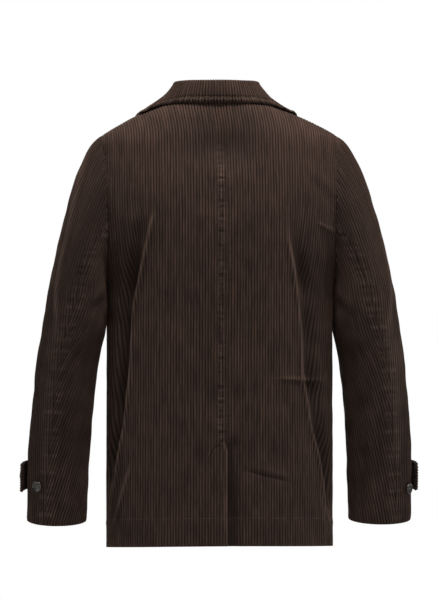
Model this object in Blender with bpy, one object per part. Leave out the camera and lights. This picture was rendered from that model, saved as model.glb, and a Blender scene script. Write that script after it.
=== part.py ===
"""A double-breasted corduroy peacoat in the form it takes when worn, with no wearer in it.

Metres, +Z up. The origin is the base of the neck, where the wearer's shoulders carry the coat. The wearer
faces +Y, so the back of the coat faces -Y and the wearer's left is -X.

The worn form is a trunk of level sections, and two sleeves of level sections that rounded caps join to the
trunk at the armholes. Each panel is a wall of cloth cut from that form along its seams, with SEAM between
neighbouring walls. What lies on a panel is made from the panel's own points, moved out.
"""
import bmesh
import bpy
import numpy as np
from mathutils import Vector

CLOTH = 0.002
SEAM = 0.0003
EASE = 0.0004

HEM = -0.737
HEM_LIFT = 0.008
LIFT_FADES = 0.30
NECK_RISE = 0.002
NECK_SHIFT = -0.006

ARMHOLE_LEVEL = -0.180
ARMHOLE_HEIGHT = 0.121
ARMHOLE_DEPTH = 0.058
ARMHOLE_STEP = 15.0

VENT_TOP = -0.566
VENT_LAP = 0.003
VENT_UNDERLAP = 0.042
VENT_SLANT = 0.012
VENT_STEP = 0.014
VENT_RECESS = 0.0027
VENT_SAG = 0.0050
VENT_SAG_LEVEL = -0.672
VENT_SAG_HEIGHT = 0.055
VENT_SAG_REACH = 0.040
VENT_DIP_FULL = 0.016
VENT_DIP_REACH = 0.034

FRONT_LAP = 0.085
BREAK_LEVEL = -0.240
GORGE_LEVEL = -0.050
ROLL_SLOPE = 0.684
OVER_FRONT = 0.0056
OVER_FADES = 0.150
OVER_FULL = 0.095
LAPEL_FOOT = 0.004
LAPEL_SET_IN = 0.0012
LAPEL_EASE = 0.0008
LAPEL_CURL = 0.0024
LAPEL_ROWS = 9
LAPEL_COLUMNS = 6

COLLAR_WALL = 0.0024
COLLAR_ROLL = 0.0034
COLLAR_TO_SHOULDER = 0.45
COLLAR_TO_GORGE = 0.67

BICEP = -0.320
CUFF = -0.694
SLEEVE_PRESS = 0.0014
SLEEVE_FULLER = {-1: 0.0, 1: 0.0028}
SLEEVE_RADIUS = 0.050
CAP_ROWS = 7
ARM_ROWS = 8

STRAP_TOP = -0.600
STRAP_BOTTOM = -0.648
STRAP_WALL = 0.0042
STRAP_TIP = 8.0
STRAP_ROOT = -142.0
STRAP_CORNER = 0.008
STRAP_COLUMNS = 16
STRAP_CLEAR = 0.0005
STRAP_LIFT = 0.0068
STRAP_LIFT_FROM = -95.0
STRAP_LIFT_TO = -5.0

SMALL_BUTTON = 0.0185
LARGE_BUTTON = 0.0280
BUTTON_SIDES = 20
BUTTON_FLOOR = 0.120
THREAD_HOLE = 0.055
THREAD_HOLE_OUT = 0.13
THREAD_HOLE_SIDES = 8


def table(names, *rows):
    """Rows of numbers as named columns."""
    return dict(zip(names.split(), np.array(rows, float).T))


TRUNK = table(
    "level half_width back front square",
    (-0.780, 0.1865, 0.119, 0.127, 2.20),
    (-0.600, 0.1865, 0.117, 0.126, 2.20),
    (-0.450, 0.1860, 0.116, 0.125, 2.20),
    (-0.360, 0.1862, 0.118, 0.125, 2.20),
    (-0.301, 0.1885, 0.120, 0.125, 2.15),
    (-0.240, 0.2040, 0.122, 0.124, 2.05),
    (-0.180, 0.2140, 0.121, 0.120, 2.00),
    (-0.140, 0.2143, 0.116, 0.114, 2.00),
    (-0.100, 0.2077, 0.109, 0.104, 2.00),
    (-0.059, 0.1930, 0.098, 0.090, 2.00),
    (-0.040, 0.1610, 0.090, 0.080, 2.00),
    (-0.027, 0.1350, 0.085, 0.075, 2.00),
    (-0.020, 0.1160, 0.082, 0.072, 2.00),
    (-0.014, 0.1000, 0.080, 0.069, 2.00),
    (-0.008, 0.0880, 0.078, 0.067, 2.00),
    (0.000, 0.0780, 0.075, 0.064, 2.00),
    (0.008, 0.0700, 0.072, 0.060, 2.00),
)

SLEEVE = table(
    "level out forward half_width half_depth square tilt",
    (-0.260, 0.2310, 0.000, 0.0480, 0.073, 2.30, 0.00),
    (-0.320, 0.2350, 0.000, 0.0492, 0.072, 2.30, 0.00),
    (-0.360, 0.2385, 0.000, 0.0520, 0.070, 2.20, 0.01),
    (-0.383, 0.2414, 0.001, 0.0522, 0.068, 2.20, 0.02),
    (-0.430, 0.2500, 0.003, 0.0512, 0.063, 2.10, 0.05),
    (-0.488, 0.2565, 0.006, 0.0503, 0.058, 2.10, 0.08),
    (-0.581, 0.2640, 0.018, 0.0510, 0.051, 2.00, 0.13),
    (-0.640, 0.2660, 0.026, 0.0500, 0.048, 2.00, 0.158),
    (-0.730, 0.2684, 0.038, 0.0485, 0.046, 2.00, 0.158),
)

# How the cap leaves the upper arm and meets the armhole, by the turn round the sleeve from its outer side.
CAP = table(
    "turn arm_in arm_rise seam_out seam_back seam_drop",
    (0, 0.0280, 0.134, 0.039, 0.000, 0.015),
    (45, 0.0200, 0.105, 0.033, 0.004, 0.022),
    (90, 0.0060, 0.060, 0.021, 0.007, 0.024),
    (135, 0.0010, 0.022, 0.008, 0.003, 0.016),
    (180, 0.0000, 0.006, 0.0005, 0.000, 0.007),
)

ELBOW_SEAM = table(
    "level turn",
    (-0.320, 88.0),
    (-0.370, 79.0),
    (-0.445, 72.0),
    (-0.560, 70.0),
    (-0.640, 64.0),
    (-0.730, 62.0),
)
ELBOW_AT_ARMHOLE = 105.0
FRONT_SEAM = -150.0

# Each drape fold is a crest with a deeper trough beside it, towards the side seam.
FOLD_COURSE = {
    "back_left": table(
        "level across",
        (-0.215, -0.124), (-0.292, -0.143), (-0.346, -0.155), (-0.407, -0.159),
        (-0.473, -0.165), (-0.544, -0.177), (-0.586, -0.188), (-0.640, -0.200),
    ),
    "back_right": table(
        "level across",
        (-0.233, 0.104), (-0.308, 0.120), (-0.350, 0.126), (-0.422, 0.131), (-0.457, 0.133),
        (-0.487, 0.139), (-0.536, 0.149), (-0.589, 0.168), (-0.662, 0.184),
    ),
    "front_left": table("level across", (-0.230, -0.120), (-0.400, -0.142), (-0.640, -0.168)),
    "front_right": table("level across", (-0.250, 0.126), (-0.420, 0.139), (-0.660, 0.172)),
}
FOLD_SIZE = table(
    "crest crest_width trough trough_at trough_width from_level to_level",
    (0.0034, 0.008, 0.0062, 0.019, 0.015, -0.190, -0.655),
    (0.0034, 0.008, 0.0062, 0.019, 0.015, -0.215, -0.690),
    (0.0030, 0.012, 0.0040, 0.022, 0.018, -0.215, -0.700),
    (0.0026, 0.011, 0.0036, 0.022, 0.017, -0.240, -0.700),
)
FOLD_FADE = 0.060
SEAM_FADE = 0.022

# The soft hollow between the shoulder blades.
BLADE_HOLLOW = 0.0045
BLADE_LEVEL = -0.075
BLADE_ACROSS = 0.050
BLADE_HEIGHT = 0.028

# The lapel's outer edge from the break to its point, in distance across to its own side and level.
LAPEL_EDGE = table(
    "along across level",
    (0.00, -0.0790, -0.2440),
    (0.35, -0.0050, -0.2080),
    (0.70, 0.0720, -0.1560),
    (1.00, 0.1180, -0.1060),
)

# The collar at its stations from centre back to front end: height of the stand and its lean towards the neck,
# how far the leaf bellies out, and where the leaf's edge lies on the trunk (face -1 back, 1 front), as its
# distance out from the centre and its level.
COLLAR = table(
    "stand lean belly edge_out edge_level edge_face",
    (0.0235, 0.0030, 0.0030, 0.0000, -0.0090, -1),
    (0.0235, 0.0035, 0.0025, 0.0330, -0.0092, -1),
    (0.0235, 0.0060, 0.0010, 0.0660, -0.0098, -1),
    (0.0230, 0.0090, -0.0010, 0.0930, -0.0130, -1),
    (0.0215, 0.0120, -0.0040, 0.1120, -0.0190, -1),
    (0.0180, 0.0110, -0.0030, 0.1270, -0.0250, -1),
    (0.0140, 0.0070, 0.0010, 0.1310, -0.0370, 1),
    (0.0100, 0.0040, 0.0010, 0.1300, -0.0500, 1),
    (0.0055, 0.0020, 0.0000, 0.1275, -0.0640, 1),
    (0.0020, 0.0000, 0.0010, 0.1230, -0.0780, 1),
)
LEAF_CLEAR = 0.0042
LEAF_OVER_LAPEL = 0.0030
STAND_CLEAR = 0.0014

# Cloth stations across each half of the back, as shares of the way to the fold and on to the seam.
BACK_INNER = (0.0, 0.06, 0.20, 0.40, 0.62, 0.82, 1.0)
BACK_OUTER = (0.20, 0.40, 0.62, 0.82, 1.0)
FRONT_COLUMNS = 9
VENT_ROWS = 5
SKIRT_ROWS = 5
YOKE_ROWS = 5

# Front buttons: two columns, three rows.
FRONT_BUTTON_ACROSS = (-0.060, 0.060)
FRONT_BUTTON_LEVELS = (-0.262, -0.382, -0.502)
# Second button that takes the strap's end, on the back of each sleeve: turn from the outer side, level.
CUFF_BUTTON = {"left": (46.0, -0.630), "right": (29.0, -0.6385)}
STRAP_BUTTON_TURN = -24.0

# A button's section from the edge of its flat back to the edge of its sunk face, in shares of its radius
# and of its diameter.
BUTTON_SECTION = table(
    "radius height",
    (0.80, 0.0),
    (1.00, 0.058),
    (0.98, 0.152),
    (0.90, 0.190),
    (0.76, BUTTON_FLOOR),
)

CORDUROY = (0.042, 0.030, 0.025)
BUTTON_HORN = (0.060, 0.052, 0.048)


def smooth(at, xs, ys):
    """A smooth curve through the points of a table, at one place or many."""
    order = np.argsort(xs)
    xs = np.asarray(xs)[order]
    ys = np.asarray(ys)[order]
    slopes = np.gradient(ys, xs)
    i = np.clip(np.searchsorted(xs, at) - 1, 0, len(xs) - 2)
    step = xs[i + 1] - xs[i]
    t = np.clip((at - xs[i]) / step, 0, 1)
    near = (1 + 2 * t) * (1 - t) ** 2 * ys[i] + t * (1 - t) ** 2 * step * slopes[i]
    far = t * t * (3 - 2 * t) * ys[i + 1] + t * t * (t - 1) * step * slopes[i + 1]
    return near + far


def ease(value, start, end):
    """0 before start, 1 after end, smooth between them."""
    t = np.clip((value - start) / (end - start), 0, 1)
    return t * t * (3 - 2 * t)


def bump(distance, width):
    return np.exp(-((distance / width) ** 2))


def unit(vectors):
    return vectors / np.linalg.norm(vectors, axis=-1, keepdims=True)


# ---- the trunk ------------------------------------------------------------------------------------------

def trunk_sizes(level, face):
    half_width = smooth(level, TRUNK["level"], TRUNK["half_width"])
    depth = smooth(level, TRUNK["level"], TRUNK["back" if face < 0 else "front"])
    return half_width, depth, smooth(level, TRUNK["level"], TRUNK["square"])


def trunk_radius(turn, level, face):
    """Distance from the trunk's axis, at a turn from the centre line (0) to the side (a quarter turn)."""
    half_width, depth, square = trunk_sizes(level, face)
    wide = (np.abs(np.sin(turn)) / half_width) ** square
    deep = (np.abs(np.cos(turn)) / depth) ** square
    return (wide + deep) ** (-1 / square)


QUARTER = np.linspace(0, np.pi / 2, 241)
LEVELS = np.linspace(TRUNK["level"][0], TRUNK["level"][-1], 321)
SHARES = np.linspace(0, 1, 121)


def girth_tables(face):
    """The cloth from centre line to side at each level, and the turn at each share of it."""
    radius = trunk_radius(QUARTER[None, :], LEVELS[:, None], face)
    x = radius * np.sin(QUARTER)
    y = radius * np.cos(QUARTER)
    run = np.hypot(np.diff(x, axis=1), np.diff(y, axis=1)).cumsum(axis=1)
    run = np.concatenate([np.zeros((len(LEVELS), 1)), run], axis=1)
    turns = np.array([np.interp(SHARES, row / row[-1], QUARTER) for row in run])
    return run[:, -1], turns


GIRTHS = {face: girth_tables(face) for face in (-1, 1)}


def quarter_girth(level, face):
    return np.interp(level, LEVELS, GIRTHS[face][0])


def turn_at(across, level, face):
    """Turn from the centre line, for a distance across the cloth at a level."""
    share = np.clip(np.abs(across) / quarter_girth(level, face), 0, 1)
    row = np.clip((level - LEVELS[0]) / (LEVELS[1] - LEVELS[0]), 0, len(LEVELS) - 1.001)
    column = np.clip(share * (len(SHARES) - 1), 0, len(SHARES) - 1.001)
    i = row.astype(int)
    j = column.astype(int)
    u = row - i
    v = column - j
    turns = GIRTHS[face][1]
    low = turns[i, j] * (1 - v) + turns[i, j + 1] * v
    high = turns[i + 1, j] * (1 - v) + turns[i + 1, j + 1] * v
    return low * (1 - u) + high * u


def neck_shift(level):
    return NECK_SHIFT * ease(level, ARMHOLE_LEVEL + ARMHOLE_HEIGHT, 0.0)


def armhole_half_depth(level):
    """Half the armhole's width at a level, from front to back."""
    rise = np.clip((level - ARMHOLE_LEVEL) / ARMHOLE_HEIGHT, -1, 1)
    return ARMHOLE_DEPTH * np.sqrt(1 - rise ** 2)


def panel_reach(level, face):
    """Cloth from the centre line to the side seam, the armhole or the shoulder seam."""
    girth = quarter_girth(level, face)
    edge = np.empty_like(girth)
    for k, at in enumerate(np.ravel(level)):
        radius = trunk_radius(QUARTER, at, face)
        x = radius * np.sin(QUARTER)
        y = radius * np.cos(QUARTER)
        along = np.concatenate([[0], np.hypot(np.diff(x), np.diff(y)).cumsum()])
        edge[k] = np.interp(-armhole_half_depth(at), -y, along)
    return np.where(armhole_half_depth(level) > 0, edge, girth)


def relief(across, level, face):
    """How far the drape folds and the hollow of the back stand out of the plain form."""
    out = np.zeros(np.broadcast(across, level).shape)
    names = ("back_left", "back_right") if face < 0 else ("front_left", "front_right")
    for name in names:
        k = list(FOLD_COURSE).index(name)
        size = {key: column[k] for key, column in FOLD_SIZE.items()}
        course = FOLD_COURSE[name]
        crest = np.abs(smooth(level, course["level"], course["across"]))
        own_side = np.sign(course["across"][0]) * across
        away = own_side - crest
        length = ease(level, size["from_level"], size["from_level"] - FOLD_FADE)
        length = length * ease(level, size["to_level"], size["to_level"] + FOLD_FADE)
        shape = size["crest"] * bump(away, size["crest_width"])
        shape = shape - size["trough"] * bump(away - size["trough_at"], size["trough_width"])
        out = out + shape * length * (own_side > 0)
    if face < 0:
        out = out - BLADE_HOLLOW * bump(across, BLADE_ACROSS) * bump(level - BLADE_LEVEL, BLADE_HEIGHT)
    return out * ease(quarter_girth(level, face) - np.abs(across), 0, SEAM_FADE)


def trunk(across, level, face, out=0.0):
    """Points of the trunk, a distance out from the plain outer face, with relief."""
    across, level, out = np.broadcast_arrays(across, level, out)
    across = across.astype(float)
    level = level.astype(float)
    turn = turn_at(across, level, face)
    radius = trunk_radius(turn, level, face)
    side = np.where(across < 0, -1.0, 1.0)
    x = side * radius * np.sin(turn)
    y = face * radius * np.cos(turn)
    half_width, depth, square = trunk_sizes(level, face)
    step = 0.0005
    grown = [np.subtract(a, b) / (2 * step) for a, b in zip(
        trunk_sizes(level + step, face), trunk_sizes(level - step, face))]
    wide = np.abs(x) / half_width
    deep = np.abs(y) / depth
    slope_x = square / half_width * wide ** (square - 1) * side
    slope_y = square / depth * deep ** (square - 1) * face
    slope_z = -square * (wide ** square * grown[0] / half_width + deep ** square * grown[1] / depth)
    logs = wide ** square * np.log(np.maximum(wide, 1e-9)) + deep ** square * np.log(np.maximum(deep, 1e-9))
    slope_z = slope_z + grown[2] * logs
    normal = unit(np.stack([slope_x, slope_y, slope_z], axis=-1))
    points = np.stack([x + neck_shift(level), y, level], axis=-1)
    return points + normal * (out + relief(across, level, face))[..., None]


def trunk_rows():
    """Levels of the rows of cloth, from hem to neck; in the armhole they match the sleeve's columns."""
    vent_foot = VENT_TOP - 2 * VENT_SLANT
    vent = np.linspace(HEM, vent_foot, VENT_ROWS)
    above = np.linspace(VENT_TOP + VENT_STEP, ARMHOLE_LEVEL - ARMHOLE_HEIGHT, SKIRT_ROWS + 1)[:-1]
    skirt = np.concatenate([vent, [VENT_TOP], above])
    turns = np.radians(np.arange(180.0, -1.0, -ARMHOLE_STEP))
    armhole = ARMHOLE_LEVEL + ARMHOLE_HEIGHT * np.cos(turns)
    yoke = np.linspace(armhole[-1], 0.0, YOKE_ROWS + 1)[1:]
    return np.concatenate([skirt, armhole, yoke])


def rise_to_neck(rows, share):
    """Levels of a row at a share of the way to the side: rows of the yoke rise towards the neck's side."""
    top = ARMHOLE_LEVEL + ARMHOLE_HEIGHT
    return rows + NECK_RISE * ease(rows, top, 0.0) * share ** 2


# ---- walls of cloth -------------------------------------------------------------------------------------

def material(name, colour, roughness):
    made = bpy.data.materials.new(name)
    made.use_nodes = True
    shader = made.node_tree.nodes["Principled BSDF"]
    shader.inputs["Base Color"].default_value = (*colour, 1.0)
    shader.inputs["Roughness"].default_value = roughness
    shader.inputs["Metallic"].default_value = 0.0
    return made


def add_object(name, mesh_data, finish):
    """A mesh from a bmesh, facing outwards, as an object of the scene."""
    bmesh.ops.recalc_face_normals(mesh_data, faces=mesh_data.faces)
    if mesh_data.calc_volume(signed=True) < 0:
        bmesh.ops.reverse_faces(mesh_data, faces=mesh_data.faces)
    mesh = bpy.data.meshes.new(name)
    mesh_data.to_mesh(mesh)
    mesh_data.free()
    mesh.materials.append(finish)
    mesh.shade_smooth()
    mesh.set_sharp_from_angle(angle=np.radians(50))
    made = bpy.data.objects.new(name, mesh)
    bpy.context.scene.collection.objects.link(made)
    return made


def cloth_wall(name, outer, inner, finish):
    """A closed wall between two faces of cloth, each a grid of points in rows and columns."""
    rows, columns = outer.shape[:2]
    made = bmesh.new()
    faces = [[[made.verts.new(point) for point in row] for row in grid] for grid in (outer, inner)]
    for grid in faces:
        for i in range(rows - 1):
            for j in range(columns - 1):
                made.faces.new((grid[i][j], grid[i][j + 1], grid[i + 1][j + 1], grid[i + 1][j]))
    rim = [(0, j) for j in range(columns)]
    rim += [(i, columns - 1) for i in range(1, rows)]
    rim += [(rows - 1, j) for j in range(columns - 2, -1, -1)]
    rim += [(i, 0) for i in range(rows - 2, 0, -1)]
    for here, there in zip(rim, rim[1:] + rim[:1]):
        made.faces.new([faces[0][here[0]][here[1]], faces[0][there[0]][there[1]],
                        faces[1][there[0]][there[1]], faces[1][here[0]][here[1]]])
    return add_object(name, made, finish)


def wall_about(name, middle, thickness, finish):
    """A wall of even thickness about a grid of points."""
    across = np.gradient(middle, axis=1)
    along = np.gradient(middle, axis=0)
    normal = unit(np.cross(across, along)) * thickness / 2
    return cloth_wall(name, middle + normal, middle - normal, finish)


# ---- panels of the trunk --------------------------------------------------------------------------------

def vent_edge(level, side):
    """Where a back panel's centre edge lies: on the seam, or in the vent lapped over or under."""
    if side < 0:
        return -SEAM / 2 + (VENT_LAP + SEAM / 2) * ease(level, VENT_TOP, VENT_TOP - VENT_SLANT)
    return SEAM / 2 - VENT_UNDERLAP * ease(level, VENT_TOP, VENT_TOP - 2 * VENT_SLANT)


def vent_out(across, level, side):
    """The right panel dips under the left one in the vent, and sags open below its middle."""
    if side < 0:
        return np.zeros(np.broadcast(across, level).shape)
    dip = VENT_RECESS * ease(level, VENT_TOP + VENT_STEP, VENT_TOP)
    dip = dip * ease(across, VENT_DIP_REACH, VENT_DIP_FULL)
    sag = VENT_SAG * bump(level - VENT_SAG_LEVEL, VENT_SAG_HEIGHT) * ease(across, VENT_SAG_REACH, VENT_LAP)
    return -dip - sag * ease(level, VENT_TOP, VENT_TOP - 2 * VENT_SLANT)


def back_panel(side, finish):
    name = "back_left" if side < 0 else "back_right"
    rows = trunk_rows()
    outer_level = rise_to_neck(rows, 1.0)
    reach = panel_reach(outer_level, -1) - SEAM / 2
    course = FOLD_COURSE[name]
    fold_share = np.abs(smooth(rows, course["level"], course["across"])) / reach
    fold = np.clip(fold_share, 0.3, 0.85) * reach
    edge = vent_edge(rows, side) * side
    inner = edge[:, None] + (fold - edge)[:, None] * np.array(BACK_INNER)
    outer = fold[:, None] + (reach - fold)[:, None] * np.array(BACK_OUTER)
    across = np.concatenate([inner, outer], axis=1)
    share = np.clip(across / reach[:, None], 0, 1)
    level = rise_to_neck(rows[:, None], share)
    level = level + HEM_LIFT * ease(rows, HEM + LIFT_FADES, HEM)[:, None] * (1 - share ** 2)
    out = vent_out(across, level, side)
    faces = [trunk(side * across, level, -1, out - depth) for depth in (0, CLOTH)]
    return cloth_wall(name, *faces, finish)


def roll_line(level):
    """Distance across to a front's own side of its turned edge, at a level above the break."""
    return -FRONT_LAP + ROLL_SLOPE * np.maximum(level - BREAK_LEVEL, 0)


def front_out(own_side, over):
    """How far a front lies out of the plain form: the over front clears the under front and its lapel."""
    if not over:
        return np.zeros_like(own_side)
    return OVER_FRONT * ease(own_side, OVER_FADES, OVER_FULL)


def front_panel(side, finish):
    over = side < 0
    rows = trunk_rows()
    outer_level = rise_to_neck(rows, 1.0)
    reach = panel_reach(outer_level, 1) - SEAM / 2
    edge = roll_line(rows)
    share = np.linspace(0, 1, FRONT_COLUMNS)
    across = edge[:, None] + (reach - edge)[:, None] * share
    level = rise_to_neck(rows[:, None], share)
    out = front_out(across, over)
    faces = [trunk(side * across, level, 1, out - depth) for depth in (0, CLOTH)]
    return cloth_wall("front_left" if over else "front_right", *faces, finish)


def lapel(side, finish):
    """The turned-back end of a front, lying on it from the roll line outwards."""
    over = side < 0
    along = np.linspace(0.0, 1.0, LAPEL_ROWS)[:, None]
    across = np.linspace(0.0, 1.0, LAPEL_COLUMNS)
    foot = BREAK_LEVEL + LAPEL_FOOT
    roll_level = foot + (GORGE_LEVEL - foot) * along
    roll_across = roll_line(roll_level) + LAPEL_SET_IN
    edge_across = smooth(along, LAPEL_EDGE["along"], LAPEL_EDGE["across"])
    edge_level = smooth(along, LAPEL_EDGE["along"], LAPEL_EDGE["level"])
    own_side = roll_across + (edge_across - roll_across) * across
    level = roll_level + (edge_level - roll_level) * across
    shown = own_side + roll_line(level)
    lift = LAPEL_CURL * ease(shown, 0.0, 0.040) * np.sin(np.pi * across)
    rest = front_out(own_side, over) + SEAM + LAPEL_EASE * ease(shown, -0.004, 0.012) + lift
    faces = [trunk(side * own_side, level, 1, rest + depth) for depth in (CLOTH, 0)]
    return cloth_wall("lapel_left" if over else "lapel_right", *faces, finish)


# ---- collar ---------------------------------------------------------------------------------------------

def neckline(stations, side):
    """Points of the neck seam from centre back round to the front, then down the roll line."""
    back_share = np.clip(stations / COLLAR_TO_SHOULDER, 0, 1)
    side_reach = quarter_girth(np.array([NECK_RISE]), -1)[0]
    back = trunk(side * back_share * side_reach, NECK_RISE * back_share ** 2, -1, -CLOTH / 2)
    front_share = np.clip((stations - COLLAR_TO_SHOULDER) / (COLLAR_TO_GORGE - COLLAR_TO_SHOULDER), 0, 1)
    front_reach = quarter_girth(np.array([NECK_RISE]), 1)[0]
    top_roll = roll_line(0.0)
    front_across = front_reach + (top_roll - front_reach) * front_share
    down = np.clip((stations - COLLAR_TO_GORGE) / (1 - COLLAR_TO_GORGE), 0, 1)
    front_level = NECK_RISE * (1 - front_share ** 2) + GORGE_LEVEL * down
    front_across = front_across + (roll_line(GORGE_LEVEL) - top_roll) * down
    flat = front_out(front_across, side < 0) + COLLAR_WALL / 2 + LEAF_CLEAR / 2
    out = -CLOTH / 2 + (flat + CLOTH / 2) * ease(down, 0.0, 0.3)
    front = trunk(side * front_across, front_level, 1, out)
    return np.where((stations > COLLAR_TO_SHOULDER)[:, None], front, back)


def leaf_edge(side):
    """Where the leaf's edge lies, just clear of the trunk."""
    level = COLLAR["edge_level"]
    points = []
    for out, at, face in zip(COLLAR["edge_out"], level, COLLAR["edge_face"]):
        face = int(face)
        half_width, depth, square = trunk_sizes(at, face)
        wide = min(out / half_width, 0.9999)
        turn = np.arctan2(wide * half_width, depth * (1 - wide ** square) ** (1 / square))
        row = np.interp(turn, QUARTER, np.arange(len(QUARTER)))
        radius = trunk_radius(QUARTER[: int(row) + 2], at, face)
        x = radius * np.sin(QUARTER[: int(row) + 2])
        y = radius * np.cos(QUARTER[: int(row) + 2])
        along = np.concatenate([[0], np.hypot(np.diff(x), np.diff(y)).cumsum()])
        across = np.interp(row, np.arange(len(along)), along)
        lift = LEAF_CLEAR + (OVER_FRONT + LEAF_OVER_LAPEL if face > 0 else 0.0)
        points.append(trunk(np.array([side * across]), np.array([at]), face, lift)[0])
    return np.array(points)


def half_collar(side):
    """The collar's middle surface on one side: up the stand, over the roll and down the leaf."""
    count = len(COLLAR["stand"])
    foot = neckline(np.linspace(0, 1, count), side)
    edge = leaf_edge(side)
    axis = np.array([NECK_SHIFT, 0.0, 0.0])
    outward = unit((foot - axis) * np.array([1, 1, 0]))
    up = np.array([0.0, 0.0, 1.0])
    foot = foot + up * STAND_CLEAR
    top = foot + up * COLLAR["stand"][:, None] - outward * COLLAR["lean"][:, None]
    rows = [foot, (foot + top) / 2, top]
    for angle in (45, 90, 135):
        swing = np.radians(angle)
        rows.append(top + outward * COLLAR_ROLL * (1 - np.cos(swing)) + up * COLLAR_ROLL * np.sin(swing))
    start = top + outward * 2 * COLLAR_ROLL
    belly = (start + edge) / 2 + (outward + up) * COLLAR["belly"][:, None]
    for share in (0.0, 0.25, 0.5, 0.75, 1.0):
        rows.append((1 - share) ** 2 * start + 2 * share * (1 - share) * belly + share ** 2 * edge)
    return np.array(rows)


def collar(finish):
    right = half_collar(1)
    left = half_collar(-1)
    middle = np.concatenate([left[:, :0:-1], right], axis=1)
    return wall_about("collar", middle, COLLAR_WALL, finish)


# ---- sleeves --------------------------------------------------------------------------------------------

def trunk_side(y, level):
    """How far out the trunk's side lies at a distance behind or before its middle."""
    half_width, back, square = trunk_sizes(level, -1)
    front = trunk_sizes(level, 1)[1]
    depth = np.where(y < 0, back, front)
    return half_width * (1 - np.clip(np.abs(y) / depth, 0, 1) ** square) ** (1 / square)


def sleeve_ring(turn, level, side, out=0.0):
    """Points round a sleeve at a level; the turn runs from the outer side (0) to the back (a quarter).

    The upper arm presses against the trunk's side and takes its shape there.
    """
    sizes = {key: smooth(level, SLEEVE["level"], column) for key, column in SLEEVE.items()}
    sizes["half_width"] = sizes["half_width"] + SLEEVE_FULLER[side]
    sizes["out"] = sizes["out"] + SLEEVE_FULLER[side]
    wide = (np.abs(np.cos(turn)) / (sizes["half_width"] + out)) ** sizes["square"]
    deep = (np.abs(np.sin(turn)) / (sizes["half_depth"] + out)) ** sizes["square"]
    radius = (wide + deep) ** (-1 / sizes["square"])
    back = -radius * np.sin(turn)
    x = sizes["out"] + radius * np.cos(turn)
    y = sizes["forward"] + back
    x = np.maximum(x, trunk_side(y, np.minimum(level, ARMHOLE_LEVEL - ARMHOLE_HEIGHT)) + SLEEVE_PRESS)
    return np.stack([x, y, level + sizes["tilt"] * back], axis=-1)


def armhole_point(turn):
    """Points of the armhole seam of the sleeve, just clear of the trunk's edge."""
    level = ARMHOLE_LEVEL + ARMHOLE_HEIGHT * np.cos(turn)
    points = []
    for angle, at in zip(np.ravel(turn), np.ravel(level)):
        face = -1 if np.sin(angle) > 0 else 1
        half_width, depth, square = trunk_sizes(at, face)
        y = ARMHOLE_DEPTH * abs(np.sin(angle))
        points.append((half_width * (1 - (y / depth) ** square) ** (1 / square) + SEAM, face * y, at))
    return np.array(points).reshape(np.shape(turn) + (3,))


def sleeve_cap(turn, share, side):
    """Points of the cap, from the upper arm (0) to the armhole seam (1)."""
    away = np.abs(np.degrees(turn))
    shape = {key: smooth(away, CAP["turn"], column) for key, column in CAP.items()}
    zero = np.zeros_like(turn)
    arm = sleeve_ring(turn, np.full_like(turn, BICEP), side)
    rise = np.stack([-shape["arm_in"], zero, shape["arm_rise"]], axis=-1)
    seam = armhole_point(turn)
    leave = np.stack([shape["seam_out"], -np.sign(turn) * shape["seam_back"], -shape["seam_drop"]], axis=-1)
    t = np.asarray(share)[..., None]
    return ((1 - t) ** 3 * arm + 3 * t * (1 - t) ** 2 * (arm + rise)
            + 3 * t * t * (1 - t) * (seam + leave) + t ** 3 * seam)


def sleeve_surface(turn, along, side):
    """Points of a sleeve: along runs from -1 at the armhole through 0 at the upper arm to 1 at the cuff."""
    cap = sleeve_cap(turn, np.clip(-along, 0, 1), side)
    ring = sleeve_ring(turn, BICEP + (CUFF - BICEP) * along, side)
    return np.where((along < 0)[..., None], cap, ring)


def sleeve_grids(turn, along, side):
    """Outer and inner faces of a stretch of sleeve."""
    step = 0.004
    middle = sleeve_surface(turn, along, side)
    low = np.maximum(along - step, -1.0)
    round_way = sleeve_surface(turn + step, along, side) - sleeve_surface(turn - step, along, side)
    long_way = sleeve_surface(turn, along + step, side) - sleeve_surface(turn, low, side)
    inward = unit(np.cross(long_way, round_way))
    flip = np.array([side, 1.0, 1.0])
    return middle * flip, (middle + inward * CLOTH) * flip


def sleeve_panel(side, part, finish):
    along = np.concatenate([np.linspace(-1, 0, CAP_ROWS + 1)[:-1], np.linspace(0, 1, ARM_ROWS + 1)])
    level = BICEP + (CUFF - BICEP) * np.clip(along, 0, 1)
    elbow = smooth(level, ELBOW_SEAM["level"], ELBOW_SEAM["turn"])
    top = ELBOW_SEAM["turn"][0]
    elbow = np.where(along < 0, top + (ELBOW_AT_ARMHOLE - top) * -along, elbow)
    front = np.full_like(along, FRONT_SEAM)
    if part == "top":
        start, end = front, elbow
        count = round((ELBOW_AT_ARMHOLE - FRONT_SEAM) / ARMHOLE_STEP)
    else:
        start, end = elbow, front + 360
        count = round((FRONT_SEAM + 360 - ELBOW_AT_ARMHOLE) / ARMHOLE_STEP)
    share = np.linspace(0, 1, count + 1)
    clear = np.degrees(SEAM / 2 / SLEEVE_RADIUS)
    start = start + clear
    end = end - clear
    turn = start[:, None] + (end - start)[:, None] * share
    turn = np.radians(np.where(turn > 180, turn - 360, turn))
    along = np.broadcast_to(along[:, None], turn.shape)
    outer, inner = sleeve_grids(turn, along, side)
    name = f"sleeve_{part}_" + ("left" if side < 0 else "right")
    return cloth_wall(name, outer, inner, finish)


# ---- cuff straps and buttons ----------------------------------------------------------------------------

def strap_clearance(turn):
    """The space between a sleeve and its strap, which grows towards the strap's free end."""
    return STRAP_CLEAR + STRAP_LIFT * ease(turn, STRAP_LIFT_FROM, STRAP_LIFT_TO)


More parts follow.
